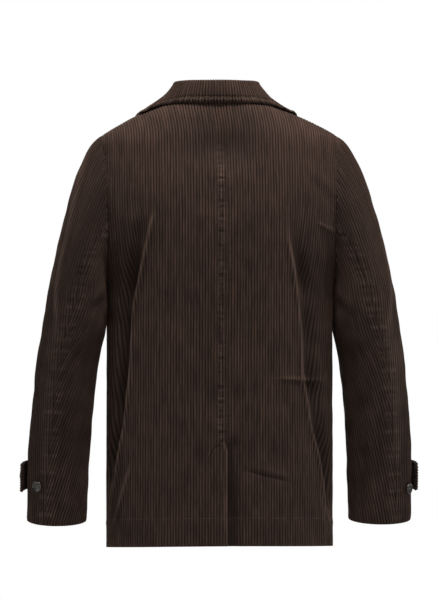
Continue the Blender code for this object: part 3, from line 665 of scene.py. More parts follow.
# Painted highlights and painted shade along lines of the back, from one place (across, level) to another: a
# positive rise paints light, a negative one shade.
BACK_LIGHT_AND_SHADE = table(
    "across level to_across to_level rise width",
    (-0.132, -0.2150, -0.205, -0.5300, -0.45, 0.0120),
    (0.078, -0.4580, 0.190, -0.4600, 0.75, 0.0016),
    (0.084, -0.4640, 0.130, -0.4650, -0.07, 0.0024),
    (0.024, -0.6020, 0.112, -0.6280, -0.60, 0.0026),
    (0.044, -0.5980, 0.112, -0.6200, 0.12, 0.0060),
    (0.156, -0.2030, 0.204, -0.2200, 0.50, 0.0020),
    (-0.158, -0.5960, -0.198, -0.6900, 0.55, 0.0026),
    (0.172, -0.6400, 0.190, -0.7150, 0.45, 0.0030),
    (-0.204, -0.6400, -0.190, -0.7200, -0.40, 0.0140),
)
# The bar of slanting stitches that closes the vent's top pulls the cloth into little ribs.
VENT_RIBS = table(
    "across level to_across to_level rise width",
    (-0.002, -0.5560, -0.020, -0.5730, -0.0011, 0.0014),
    (-0.006, -0.5540, -0.024, -0.5700, 0.0011, 0.0015),
    (-0.010, -0.5660, -0.014, -0.5740, -0.0010, 0.0012),
    (-0.015, -0.5700, -0.019, -0.5790, 0.0012, 0.0013),
    (-0.019, -0.5720, -0.024, -0.5830, -0.0011, 0.0013),
    (-0.023, -0.5740, -0.028, -0.5840, 0.0012, 0.0013),
    (-0.026, -0.5640, -0.029, -0.5790, -0.0009, 0.0013),
)

# The soft hollow between the shoulder blades, and the fuller cloth over each blade.
BLADE_HOLLOW = 0.0120
BLADE_LEVEL = -0.080
BLADE_ACROSS = 0.056
BLADE_HEIGHT = 0.032

VENT_SAG = 0.0050
VENT_SAG_LEVEL = -0.672
VENT_SAG_HEIGHT = 0.055
VENT_SAG_REACH = 0.040
VENT_RECESS = 0.0027
VENT_STEP = 0.014
VENT_DIP_FULL = 0.016
VENT_DIP_REACH = 0.034

HEM_TURN = 0.046
HEM_RIPPLES = (0.0063, 0.0098)
# The hem's stitches sink so far over this width; just below them the doubled cloth stands out, at this
# distance and over this width.
HEM_STITCH = (0.0006, 0.0016)
HEM_STEP = (0.0005, 0.006, 0.0050)
STITCH_IN = 0.0065
EDGE_STITCH = 0.0080
CENTRE_STITCH = 0.0140

# Relief beside a seam or an edge: how far from it each band lies, how far it stands out, and its width.
PRESSED_SEAM = table("at rise width", (0.0, -0.0013, 0.0016), (STITCH_IN, -0.0006, 0.0011))
PRESSED_EDGE = table(
    "at rise width",
    (EDGE_STITCH, -0.0007, 0.0013),
    (0.0040, 0.0004, 0.0032),
    (0.0, -0.0007, 0.0012),
)
CENTRE_BANDS = table(
    "at rise width",
    (CENTRE_STITCH, -0.0010, 0.0016),
    (0.0070, 0.0010, 0.0058),
    (0.0, 0.0006, 0.0030),
)
# Puckers beside a row of stitches: how far from the seam they lie, their height, width and lengths.
SEAM_PUCKERS = (0.0052, 0.00075, 0.0046, (0.0062, 0.0091, 0.0147))
EDGE_PUCKERS = (0.0060, 0.00035, 0.0046, (0.0065, 0.0098, 0.0153))
CENTRE_LADDER = (0.0057, 0.0079, 0.0121)
CENTRE_UNEVEN = (0.0231, 0.0372)
LADDER_STARTS = (-0.050, -0.085)
# The ladder of puckers beside the centre seam: its place, height and width on the left back, the levels round
# which it and its light are strongest and how far each reaches there, and how strong both are elsewhere.
LADDER_AT = 0.0075
LADDER_RISE = 0.0015
LADDER_WIDE = 0.0070
LADDER_PEAKS = ((-0.115, 0.090), (-0.530, 0.050))
LADDER_LIGHT_PEAKS = ((-0.115, 0.070), (-0.520, 0.060))
LADDER_LEAST = 0.62
LADDER_LIGHT_LEAST = 0.14
LADDER_LIGHT_MORE = 0.30
LADDER_LIGHT_AT = 0.0070
LADDER_LIGHT_WIDE = 0.0056
# The right back takes up a little of it, close to the seam, and sinks there: how far and how wide.
RIGHT_LADDER = (0.0004, 0.0040)
RIGHT_SINKS = (0.0007, 0.0030)

# Levels between which the seams at a panel's outer end come in or ease off.
ARM_SEAM_FADES = (-0.315, -0.290)
ARM_SEAM_EASES = (-0.110, -0.070)
SHOULDER_SEAM_FADES = (-0.062, -0.050)
SIDE_SEAM_FADES = (-0.290, -0.300)
SIDE_SEAM_SINKS = 0.0012
SIDE_SEAM_WIDE = 0.0018
# How much of the armhole's seam is lost over the shoulder.
ARM_SEAM_EASED = 0.75
# Relief of a seam at which it takes all of the puckered look.
SEAM_SHOWS = 0.0012
EDGE_SHOWS = 0.0011

# The shadow beside the open vent: how dark, how wide at its top, and how much wider below.
VENT_SHADE = 1.9
VENT_SHADE_WIDE = 0.0052
VENT_SHADE_WIDENS = 0.0060
VENT_SHADE_PAST = 0.0034
# The centre seam gives way to the vent between these two rows.
VENT_OPENS = (VENT_TOP + 0.004, VENT_TOP - 0.006)
# The vent's upper edge stands fuller by so much over this width, and catches the light: how much, how far
# inside the edge, and how wide.
VENT_EDGE_FULL = (0.0012, 0.0030)
VENT_EDGE_LIGHT = (0.7, 0.0012, 0.0024)
# Depths of the seams on the backs: down the centre, round the armhole and along the shoulder.
CENTRE_DEPTH = 0.7
BACK_DEPTHS = (0.7, 0.25)

CREASE_WANDER = 0.014
SLACK = 0.00032
SLACK_WAVES = ((0.11, 0.31), (0.071, 0.19), (0.043, 0.123), (0.137, 0.083))
FOLD_WAVES = (0.17, 0.094)
FOLD_UNEVEN = 0.25
# A fold's crest takes a painted highlight, and the cloth beyond its trough a painted shade.
CREST_HIGHLIGHT = 0.9
CREST_HIGHLIGHT_WIDE = 0.0026
SIDE_SHADE = 0.45
SIDE_SHADE_FROM = 0.012
SIDE_SHADE_FULL = 0.044
# Heights at which a fold takes all of its painted highlight, and depths at which it takes all of its painted
# shade.
FOLD_HIGHLIGHTED = 0.0040
FOLD_HIGHLIGHTED_MOST = 0.4
FOLD_SHADED = 0.012
FOLD_SHADED_MOST = 0.8
# The most painted shade that any point of the cloth takes.
DEEP_MOST = 1.4


def creases(across, level, marks):
    """Short soft ridges and troughs, each fading out at its two ends."""
    out = np.zeros(across.shape)
    for k in range(len(marks["rise"])):
        mark = {key: column[k] for key, column in marks.items()}
        run = np.array([mark["to_across"] - mark["across"], mark["to_level"] - mark["level"]])
        length = np.hypot(*run)
        run = run / length
        away = np.array([across - mark["across"], level - mark["level"]])
        ahead = away[0] * run[0] + away[1] * run[1]
        beside = away[0] * run[1] - away[1] * run[0]
        bend = 25 * mark["across"] + 15 * mark["level"]
        beside = beside + CREASE_WANDER * length * np.sin(np.pi * ahead / length * 1.3 + bend)
        fade = ease(ahead, -0.1 * length, 0.3 * length) * ease(ahead, 1.1 * length, 0.7 * length)
        out = out + mark["rise"] * bump(beside, mark["width"]) * fade
    return out


def ripple(along, lengths, start):
    """An uneven ripple, the mean of a few waves of these lengths."""
    waves = [np.sin(2 * np.pi * along / length + start + 2.3 * k) for k, length in enumerate(lengths)]
    return np.mean(waves, axis=0)


def slack(across, level, start):
    """The slow unevenness of worn cloth."""
    out = np.zeros(across.shape)
    for k, (wide, tall) in enumerate(SLACK_WAVES):
        slant = np.sin(2 * np.pi * (across / wide + level / tall) + start + 1.7 * k)
        out = out + slant * np.sin(2 * np.pi * level / tall + 2.9 * k + start)
    return SLACK * out


def drape(across, level, face):
    """The drape folds of the back or the fronts, with a painted highlight along each crest and painted shade
    beyond each trough.
    """
    out = np.zeros(across.shape)
    painted_light = np.zeros(across.shape)
    for name in (("back_left", "back_right") if face < 0 else ("front_left", "front_right")):
        size = {key: column[list(FOLD_COURSE).index(name)] for key, column in FOLD_SIZE.items()}
        course = FOLD_COURSE[name]
        crest = np.abs(smooth(level, course["level"], course["across"]))
        own_side = np.sign(course["across"][0]) * across
        away = own_side - crest
        length = ease(level, size["from_level"], size["from_level"] - FOLD_FADE)
        length = length * ease(level, size["to_level"], size["to_level"] + FOLD_FADE)
        sunk = length * ease(level, size["from_level"], size["from_level"] - FOLD_SINKS)
        uneven = 1 + FOLD_UNEVEN * ripple(level, FOLD_WAVES, crest.mean() * 40)
        shape = size["crest"] * bump(away, size["crest_width"] * uneven) * length
        shape = shape - size["trough"] * bump(away - size["trough_at"], size["trough_width"]) * sunk
        # Painted highlight along the crest; painted shade past the trough, where the cloth turns away to the
        # side.
        highlight_amount = CREST_HIGHLIGHT * bump(away, CREST_HIGHLIGHT_WIDE) * (0.6 + 0.4 * uneven) * length
        here = own_side > 0
        out = out + shape * uneven * here
        painted_light = painted_light + (highlight_amount - SIDE_SHADE * ease(away, SIDE_SHADE_FROM, SIDE_SHADE_FULL) * sunk) * here
    return out, painted_light


def gathered(own, level, face, side, end):
    """How far the cloth beyond a drape fold is drawn towards it, fading out to the panel's edge."""
    course = FOLD_COURSE[("back_" if face < 0 else "front_") + SIDES[side]]
    crest = np.abs(smooth(level, course["level"], course["across"]))
    most = GATHER * (1.0 if face < 0 else 0.5)
    drawn = most * np.clip((GATHER_FROM - level) / (GATHER_FROM - GATHER_TO), 0, 1.15)
    drawn = drawn * ease(level, HEM, HEM + 0.16) ** 0.5
    past = ease(own, crest + 0.002, crest + 0.030) * np.clip((end - own) / (end - crest - 0.030 + 1e-9), 0, 1)
    return drawn * past


def relief(distance, bands):
    """The bands of cloth raised or sunk beside a seam, at a distance from it."""
    heights = [rise * bump(distance - at, width) for at, rise, width in zip(*bands.values())]
    return np.sum(heights, axis=0)


def puckers(distance, along, start, kind):
    """Small folds drawn up by a row of stitches, at a distance from its seam."""
    at, rise, width, lengths = kind
    return rise * ripple(along, lengths, start) * bump(distance - at, width)


def stitched_seam(distance, along, start, depth):
    """A seam pressed in, its row of topstitching, and the puckers that the stitching draws up."""
    return depth * (relief(distance, PRESSED_SEAM) + puckers(distance, along, start, SEAM_PUCKERS))


def edge_stitch(distance, along, start):
    """Topstitching beside a turned edge: a sunk row, a full band outside it, and light puckers."""
    return relief(distance, PRESSED_EDGE) + puckers(distance, along, start, EDGE_PUCKERS)


def peaks(level, places):
    """1 at each of these levels, falling off over its reach."""
    return np.max([bump(level - at, reach) for at, reach in places], axis=0)


def centre_puckers(own, level, side):
    """The left back is topstitched beside the centre seam, which draws up a ladder of small puckers."""
    ladder = ripple(level, CENTRE_LADDER, 0.4) + 0.5 * ripple(level, CENTRE_UNEVEN, 1.9)
    strong = LADDER_LEAST + (1 - LADDER_LEAST) * peaks(level, LADDER_PEAKS)
    strong = strong * ease(level, *LADDER_STARTS)
    if side < 0:
        ladder = LADDER_RISE * ladder * bump(own - LADDER_AT, LADDER_WIDE)
        return strong * (ladder + relief(own, CENTRE_BANDS))
    rise, wide = RIGHT_LADDER
    sinks, sunk_wide = RIGHT_SINKS
    return strong * (rise * ladder * bump(own, wide) - sinks * bump(own, sunk_wide))


def centre_light(own, level, side):
    """Where the puckers of the left back's topstitching catch the light."""
    rungs = np.clip(1.6 * ripple(level, CENTRE_LADDER, 0.4), 0, 1)
    strong = LADDER_LIGHT_LEAST + LADDER_LIGHT_MORE * peaks(level, LADDER_LIGHT_PEAKS)
    beside = bump(own - LADDER_LIGHT_AT, LADDER_LIGHT_WIDE)
    return strong * rungs * beside * ease(level, *LADDER_STARTS) * (side < 0)


def armhole_distance(points):
    """Distance from the armhole seam, for points of the trunk."""
    y = points[..., 1] / ARMHOLE_DEPTH
    z = (points[..., 2] - ARMHOLE_LEVEL) / ARMHOLE_HEIGHT
    reach = np.hypot(y, z)
    slope = np.hypot(y / ARMHOLE_DEPTH, z / ARMHOLE_HEIGHT) / np.maximum(reach, 1e-6)
    return np.abs(reach - 1) / slope


def vent_out(own_side, level, side):
    """The right back dips under the left one in the vent, and sags open below its middle."""
    if side < 0:
        return np.zeros(own_side.shape)
    dip = VENT_RECESS * ease(level, VENT_TOP + VENT_STEP, VENT_TOP)
    dip = dip * ease(own_side, VENT_DIP_REACH, VENT_DIP_FULL)
    sag = VENT_SAG * bump(level - VENT_SAG_LEVEL, VENT_SAG_HEIGHT) * ease(own_side, VENT_SAG_REACH, VENT_LAP)
    return -dip - sag * ease(level, VENT_TOP, VENT_TOP - 2 * VENT_SLANT)


# ---- panels of the trunk ----------------------------------------------------------------------------------

ROW = 0.0075
FINE_ROW = 0.0025
PUCKERED = 0.014
# Levels where short creases cross the wales of the back.
FINE_BANDS = ((-0.636, -0.592), (-0.590, -0.556), (-0.476, -0.450), (-0.226, -0.198))
YOKE_FOOT = -0.075
YOKE_ROWS = 14


def panel_rows(low, high, marks, fine):
    """Places along a column: even rows, closer ones where the cloth is puckered, and the marks."""
    steps = np.arange(np.floor(low / FINE_ROW) + 1, np.ceil(high / FINE_ROW))
    places = steps * FINE_ROW
    places = places[(np.mod(steps, round(ROW / FINE_ROW)) == 0) | fine(places)]
    fixed = np.unique([low, high, *[mark for mark in marks if low < mark < high]])
    if len(places):
        gap = np.abs(places[:, None] - fixed).min(axis=1)
        places = places[gap > 0.4 * FINE_ROW]
    return np.sort(np.concatenate([places, fixed]))


class TrunkPanel:
    """One quarter of the trunk: a back or a front, with its limits in cloth measures."""

    def __init__(self, side, face):
        self.side = side
        self.face = face
        self.low = np.linspace(HEM, ARMHOLE_LEVEL, 900)
        self.low_limit = (self.reach(self.low) - SEAM / 2) / self.scale(self.low)
        self.high = np.linspace(ARMHOLE_LEVEL, 0.0, 700)
        if face < 0:
            base = np.full_like(self.high, ARMHOLE_LEVEL)
            width = side_width(rise_to_neck(self.high, 1.0), face) - SEAM
            self.high_limit = across_at(turn_at_width(width, base, face), base, face)
        else:
            self.high_limit = self.reach(self.high) - SEAM / 2
        self.notch = self.low_limit[-1]
        self.high_limit = self.high_limit + self.notch - self.high_limit[0]

    def scale(self, rows):
        """How the measure across shrinks below the waist, so that the side seam follows a wale."""
        girth = quarter_girth(rows, self.face) / quarter_girth(np.array([WAIST]), self.face)
        return np.where(rows < WAIST, girth, 1.0)

    def reach(self, rows):
        """The cloth from the centre line to the panel's outer end."""
        level = rise_to_neck(rows, 1.0)
        return across_at(turn_at_width(side_width(level, self.face), level, self.face), level, self.face)

    def limit(self, rows):
        """Measure across at the side seam, the armhole or the shoulder seam."""
        return np.where(rows < ARMHOLE_LEVEL, np.interp(rows, self.low, self.low_limit),
                        np.interp(rows, self.high, self.high_limit))

    def lower_end(self, across):
        """Where a column starts: at the hem, or on the side seam above the waist."""
        widest = int(self.low_limit.argmax())
        waist = int(np.searchsorted(self.low, WAIST))
        if across <= self.low_limit[waist]:
            return HEM
        return float(np.interp(across, self.low_limit[waist:widest + 1], self.low[waist:widest + 1]))

    def under_arm(self, across):
        """Where a column outside the armhole's deepest point ends, on its lower curve."""
        widest = int(self.low_limit.argmax())
        return float(np.interp(-across, -self.low_limit[widest:], self.low[widest:]))

    def over_arm(self, across):
        """Where such a column starts again, on the armhole's upper curve."""
        widest = int(self.high_limit.argmax())
        return float(np.interp(across, self.high_limit[:widest + 1], self.high[:widest + 1]))

    def turned(self, across):
        """Whether a column ends on a front's roll line."""
        return self.face > 0 and across < roll_line(0.0)

    def top_end(self, across):
        """Where a column ends: on the roll line, at the neck, or on the shoulder seam."""
        if self.turned(across):
            return BREAK_LEVEL + (across + FRONT_LAP) / ROLL_SLOPE
        widest = int(self.high_limit.argmax())
        return float(np.interp(-across, -self.high_limit[widest:], self.high[widest:]))

    def rows(self, across, low, high, marks):
        """Rows of a column: closer where seams pucker it, and crowding towards the shoulder ridge."""
        if high - low < 1e-5:
            return np.array([low])

        def fine(places):
            near = self.limit(places) - across < PUCKERED
            near = near & (places > ARMHOLE_LEVEL - ARMHOLE_HEIGHT - PUCKERED)
            if self.face < 0:
                for low_mark, high_mark in FINE_BANDS:
                    near = near | (places > low_mark) & (places < high_mark)
            if across > self.notch:
                over_foot = places > self.under_arm(across) - PUCKERED
                near = near | over_foot & (places < self.over_arm(across) + PUCKERED)
            return near | (np.abs(across) < PUCKERED)

        if high <= YOKE_FOOT or self.turned(across):
            return panel_rows(low, high, marks, fine)
        foot = max(low, YOKE_FOOT)
        neck = self.high_limit[-1]
        crowd = 1 + float(ease(across, neck - 0.030, neck + 0.010))
        top = high - (high - foot) * np.linspace(1, 0, YOKE_ROWS + 1) ** crowd
        if low >= YOKE_FOOT:
            return top
        return np.concatenate([panel_rows(low, foot, marks, fine), top[1:]])

    def cut(self, marks, vent=None):
        """The panel as a cut piece: whole columns, those below and above the armhole, and the vent's."""
        piece = Cut()
        inner_edge = SEAM / 2 if self.face < 0 else -FRONT_LAP
        marks = sorted((*marks, ARMHOLE_LEVEL))
        columns = []
        for across in wale_places(inner_edge, self.notch):
            columns.append(piece.column(across, self.rows(across, HEM, self.top_end(across), marks)))
        last = columns[-1]
        place = piece.along[-1]
        below = [last[place <= ARMHOLE_LEVEL + 1e-9]]
        above = [last[place >= ARMHOLE_LEVEL - 1e-9]]
        waist = self.low_limit[int(np.searchsorted(self.low, WAIST))]
        for across in wale_places(self.notch, self.low_limit.max(), (waist,))[1:]:
            rows = self.rows(across, self.lower_end(across), self.under_arm(across), marks)
            below.append(piece.column(across, rows))
        for across in wale_places(self.notch, self.high_limit.max())[1:]:
            rows = self.rows(across, self.over_arm(across), self.top_end(across), marks)
            above.append(piece.column(across, rows))
        patches = [columns, below, above]
        if vent:
            place = piece.along[0]
            levels = np.linspace(HEM, VENT_TOP, 600)
            edge = vent(levels)
            grows = int(np.argmax(edge > edge.min() + 1e-7)) - 1
            inside = []
            for across in wale_places(edge.min(), inner_edge)[:-1]:
                high = float(np.interp(across, edge[grows:], levels[grows:]))
                inside.append(piece.column(across, self.rows(across, HEM, high, marks)))
            patches.append([*inside, columns[0][place <= VENT_TOP + 1e-9]])
        for patch in patches:
            piece.sew(patch, keep=marks)
        return piece

    def lie(self, across, rows):
        """The turn, side, level and true distance across (to its own side) of each point of the cloth."""
        own = np.abs(across)
        share = np.clip(own / self.limit(rows), 0, 1)
        level = rise_to_neck(rows, share)
        if self.face < 0:
            level = level + HEM_LIFT * ease(rows, HEM + LIFT_FADES, HEM) * (1 - share ** 2)
        scale = np.where(across < 0, 1.0, self.scale(rows))
        turn = turn_at(own * scale, level, self.face)
        if self.face < 0:
            base = np.full_like(level, ARMHOLE_LEVEL)
            plain = trunk(turn_at(own, base, self.face), 1.0, base, self.face)[0][..., 0]
            turn = np.where(rows < ARMHOLE_LEVEL, turn, turn_at_width(plain - neck_shift(base), level, -1))
        sign = np.where(across < 0, -1.0, 1.0)
        reach = across_at(turn, level, self.face)
        end = np.where(rows < ARMHOLE_LEVEL, self.limit(rows) * scale, reach.max())
        drawn = gathered(reach, level, self.face, self.side, np.maximum(end, 0.15)) * (sign > 0)
        turn = np.where(drawn > 1e-7, turn_at(reach - drawn, level, self.face), turn)
        return turn, self.side * sign, level, (reach - drawn) * sign


def wale_step(across):
    """How far the cloth stands out on a wale's crest and in between wales."""
    return WALE_HEIGHT * (wale_rise(across) - WALE_MEAN)


def outer_seams(points, level, to_side, face, start, depths):
    """The seams at a panel's outer end: armhole and shoulder together, and the side seam."""
    arm = stitched_seam(armhole_distance(points), level, start, depths[0]) * ease(level, *ARM_SEAM_FADES)
    arm = arm * (1 - ARM_SEAM_EASED * ease(level, *ARM_SEAM_EASES))
    shoulder = side_width(level, face) - np.abs(points[:, 0] - neck_shift(level))
    ridge = stitched_seam(shoulder * 0.9, points[:, 0], 0.4, depths[1]) * ease(level, *SHOULDER_SEAM_FADES)
    side_seam = -SIDE_SEAM_SINKS * bump(to_side, SIDE_SEAM_WIDE) * ease(level, *SIDE_SEAM_FADES)
    return arm + ridge, side_seam


def back_surface(panel, across, rows):
    """A back: centre back seam and vent, drape folds, blades, puckered seams and turned hem."""
    side = panel.side
    turn, sign, level, own = panel.lie(across, rows)
    points, normal = trunk(turn, sign, level, -1)
    placed = own * side
    to_side = quarter_girth(level, -1) - np.abs(own)
    folds, painted_light = drape(placed, level, -1)
    worn = folds + creases(placed, level, BACK_CREASES) + slack(placed, level, 0.7)
    worn = worn - BLADE_HOLLOW * bump(placed, BLADE_ACROSS) * bump(level - BLADE_LEVEL, BLADE_HEIGHT)
    worn = worn * ease(to_side, 0, SEAM_FADE)
    in_vent = ease(rows, *VENT_OPENS)
    centre = stitched_seam(np.abs(own), level, 1.3 + side, CENTRE_DEPTH) + centre_puckers(own, level, side)
    centre = centre * (1 - in_vent)
    if side > 0:
        worn = worn + vent_out(own, level, side)
    else:
        centre = centre + creases(placed, level, VENT_RIBS)
        to_edge = own - vent_edge(level, side)
        fuller, wide = VENT_EDGE_FULL
        centre = centre + in_vent * (edge_stitch(to_edge, level, 2.4) + fuller * bump(to_edge, wide))
    outer, side_seam = outer_seams(points, level, to_side, -1, 2.1 - side, BACK_DEPTHS)
    seams = centre + outer + side_seam + hem_relief(rows, placed)
    puckered = np.clip((centre + outer) / SEAM_SHOWS, 0, 1)
    # Painted highlights and painted shade along lines of the back, and the painted light on the ladder's
    # puckers.
    painted_light = painted_light + creases(placed, level, BACK_LIGHT_AND_SHADE) + (1 - in_vent) * centre_light(own, level, side)
    # A painted shadow beside the open vent, and a painted highlight on the vent's upper edge.
    if side > 0:
        wide = VENT_SHADE_WIDE + VENT_SHADE_WIDENS * ease(level, VENT_TOP, HEM + 0.060)
        painted_light = painted_light - VENT_SHADE * in_vent * bump(own - VENT_LAP - VENT_SHADE_PAST, wide)
    else:
        light, inside, wide = VENT_EDGE_LIGHT
        painted_light = painted_light + light * in_vent * bump(to_edge - inside, wide)
    return laid_cloth(points, normal, worn, seams, across, rows, puckered, painted_light)


def hem_relief(rows, across):
    """The turned hem: its line of stitches, and the doubled cloth that stands out just below it."""
    above = rows - HEM - HEM_TURN
    dimples = 0.5 + 0.5 * ripple(across, HEM_RIPPLES, 0.8)
    sinks, wide = HEM_STITCH
    step, below, step_wide = HEM_STEP
    return step * bump(above + below, step_wide) - sinks * bump(above, wide) * (0.4 + dimples)


def laid_cloth(points, normal, worn, seams, across, rows, puckered, painted_light):
    """The two faces of a panel's cloth and what it keeps with its points."""
    wale = wale_rise(across)
    lay = np.stack([across, rows, wale], axis=-1)
    # Painted highlight where folds and creases stand out and along painted lines; painted shade where folds
    # sink, past their troughs and beside the vent.
    highlight = np.clip(painted_light + FOLD_HIGHLIGHTED_MOST * np.clip(worn / FOLD_HIGHLIGHTED, 0, 1) ** 2, 0, 1)
    deep = np.clip(-worn / FOLD_SHADED, 0, FOLD_SHADED_MOST) + np.clip(-painted_light, 0, DEEP_MOST)
    deep = np.clip(deep, 0, DEEP_MOST)
    light_and_wear = np.stack([highlight, puckered, deep], axis=-1)
    face_points = points + normal * (worn + seams + wale_step(across))[:, None]
    return face_points, points + normal * (worn - CLOTH)[:, None], lay, light_and_wear


def back_panel(side, cloth):
    """One of the two backs, and its limits."""
    panel = TrunkPanel(side, -1)
    cut = panel.cut((WAIST, VENT_TOP), vent=lambda level: vent_edge(level, side))
    made = make_shell(f"back_{SIDES[side]}_cloth", cut, *back_surface(panel, *cut.arrays()), cloth)
    return made, panel


# ---- panels of the sleeves --------------------------------------------------------------------------------

SLEEVE_LONG = BICEP - CUFF
UNDERARM = ARMHOLE_LEVEL - ARMHOLE_HEIGHT
UNDER_SLANT = {-1: 0.24, 1: 0.15}
UNDER_SLANT_ABOVE = 0.12
CROWN_ROWS = 15
CROWN_DROP = 0.075
CROWN_CROWDS = 1.7
ARM_RADIUS = 0.055
# Turns are kept at this many even shares on each side of a sleeve's outer line.
TURN_SHARES = 160

# The elbow and front seams end at these levels, and above them a point lies this far from any seam.
ELBOW_SEAM_ENDS = -0.212
FRONT_SEAM_ENDS = -0.286
NO_SEAM = 9.0
# The cloth from the armhole to the upper arm, at the outer line, the back and under the arm.
CAP_LONG = (0.27, 0.150, 0.02)
CAP_TURNS = (0.0, np.pi / 2, np.pi)
# The cap's cloth is eased into the armhole in wide, soft puckers.
EASED_IN = (0.011, 0.0012, 0.010, (0.009, 0.015, 0.023))
ELBOW_LADDER = (0.0098, 0.0140, 0.0235)
# The ladder beside the elbow seam: its place, width and height, the fuller cloth under it, and its light.
ELBOW_LADDER_AT = 0.0070
ELBOW_LADDER_WIDE = 0.0085
ELBOW_LADDER_RISE = 0.0008
ELBOW_FULL = 0.0003
ELBOW_LIGHT = 0.58
ELBOW_LIGHT_AT = 0.0080
ELBOW_LIGHT_WIDE = 0.0070
# How deep each seam is, as a share of a full one.
ELBOW_DEPTH = 0.45
FRONT_SEAM_DEPTH = 0.5
ARMHOLE_SEAM_DEPTH = 1.1
# The worn cloth lies in its plain form this close to the armhole and to the cuff.
FADE_AT_ARMHOLE = 0.030
FADE_AT_CUFF = 0.020
CUFF_PRESS = (0.0005, 0.0020)
# Heights and depths at which a sleeve's fold takes its painted highlight and its painted shade in full, and
# the relief at which a seam takes all of its worn look.
SLEEVE_FOLD_HIGHLIGHTED = 0.0034
SLEEVE_FOLD_SHADED = 0.005
SLEEVE_SHOWS = 0.0014
# How dark the painted shade lies on each sleeve, below the upper arm.
SLEEVE_SHADE = {-1: 0.64, 1: 0.38}

# Soft breaks of the sleeves, by distance round (from the outer side, towards the back) and level.
SLEEVE_CREASES = {
    -1: table(
        "across level to_across to_level rise width",
        (0.022, -0.080, 0.047, -0.255, 0.0038, 0.0050),
        (0.045, -0.220, 0.057, -0.400, 0.0036, 0.0050),
        (0.050, -0.370, 0.046, -0.500, 0.0018, 0.0090),
        (0.050, -0.180, 0.056, -0.350, -0.0016, 0.0120),
        (0.000, -0.200, 0.006, -0.400, -0.0010, 0.0160),
        (0.100, -0.330, 0.140, -0.300, 0.0013, 0.0070),
        (0.096, -0.350, 0.140, -0.322, -0.0014, 0.0080),
        (0.092, -0.390, 0.130, -0.372, 0.0010, 0.0070),
        (0.086, -0.420, 0.120, -0.404, -0.0011, 0.0090),
        (0.020, -0.400, 0.062, -0.424, 0.0009, 0.0080),
        (0.016, -0.430, 0.060, -0.452, -0.0009, 0.0090),
        (0.084, -0.470, 0.130, -0.540, 0.0012, 0.0120),
        (0.040, -0.540, 0.048, -0.660, -0.0012, 0.0130),
        (0.090, -0.600, 0.110, -0.680, 0.0011, 0.0110),
        (-0.060, -0.300, -0.030, -0.400, 0.0014, 0.0120),
        (-0.080, -0.360, -0.040, -0.430, -0.0014, 0.0120),
        (-0.100, -0.420, -0.050, -0.450, 0.0013, 0.0090),
        (-0.090, -0.460, -0.050, -0.480, -0.0012, 0.0090),
        (-0.060, -0.560, -0.050, -0.670, 0.0010, 0.0140),
        (0.060, -0.090, 0.084, -0.170, 0.0012, 0.0100),
        (-0.060, -0.100, -0.080, -0.190, 0.0012, 0.0100),
    ),
    1: table(
        "across level to_across to_level rise width",
        (0.032, -0.220, 0.062, -0.400, 0.0026, 0.0060),
        (0.044, -0.390, 0.040, -0.500, 0.0018, 0.0090),
        (0.044, -0.150, 0.054, -0.310, -0.0014, 0.0120),
        (0.030, -0.100, 0.040, -0.220, 0.0010, 0.0110),
        (0.098, -0.340, 0.140, -0.316, 0.0012, 0.0080),
        (0.094, -0.362, 0.138, -0.336, -0.0013, 0.0080),
        (0.090, -0.400, 0.126, -0.380, 0.0011, 0.0080),
        (0.012, -0.415, 0.056, -0.436, 0.0010, 0.0080),
        (0.010, -0.445, 0.054, -0.468, -0.0010, 0.0090),
        (0.082, -0.450, 0.124, -0.520, -0.0011, 0.0110),
        (0.080, -0.490, 0.120, -0.570, 0.0011, 0.0110),
        (0.036, -0.520, 0.040, -0.660, -0.0010, 0.0130),
        (0.096, -0.610, 0.112, -0.690, 0.0011, 0.0110),
        (-0.058, -0.290, -0.030, -0.390, 0.0013, 0.0120),
        (-0.084, -0.350, -0.044, -0.420, -0.0014, 0.0120),
        (-0.096, -0.410, -0.050, -0.442, 0.0012, 0.0090),
        (-0.088, -0.452, -0.048, -0.474, -0.0012, 0.0090),
        (-0.058, -0.570, -0.050, -0.680, 0.0010, 0.0140),
        (0.062, -0.095, 0.086, -0.180, 0.0011, 0.0100),
        (-0.058, -0.105, -0.078, -0.185, 0.0012, 0.0100),
    ),
}

# Painted highlights and painted shade along lines of the sleeves, from one place (across, level) to another:
# a positive rise paints light, a negative one shade.
SLEEVE_LIGHT_AND_SHADE = {
    -1: table(
        "across level to_across to_level rise width",
        (0.022, -0.080, 0.047, -0.255, 1.20, 0.0036),
        (0.045, -0.220, 0.057, -0.400, 1.20, 0.0038),
        (0.072, -0.110, 0.076, -0.340, -0.60, 0.0180),
        (0.186, -0.330, 0.180, -0.600, -0.95, 0.0240),
        (0.018, -0.090, 0.034, -0.380, 0.35, 0.0120),
        (0.060, -0.340, 0.056, -0.640, 0.40, 0.0120),
    ),
    1: table(
        "across level to_across to_level rise width",
        (0.032, -0.220, 0.062, -0.400, 0.95, 0.0040),
        (0.060, -0.320, 0.055, -0.600, 0.70, 0.0120),
        (0.182, -0.300, 0.178, -0.660, -0.90, 0.0240),
        (0.086, -0.150, 0.100, -0.260, -0.60, 0.0160),
    ),
}


def cap_along(turn, level, side):
    """How far up the cap (0 to -1) a level is met, along each turn of a level slice."""
    tries = np.linspace(0.0, -1.0, 61)
    heights = sleeve_cap(turn[None, :], -tries[:, None] * np.ones_like(turn)[None, :], side)[..., 2]
    return np.array([np.interp(at, column, tries) for at, column in zip(level, heights.T)])


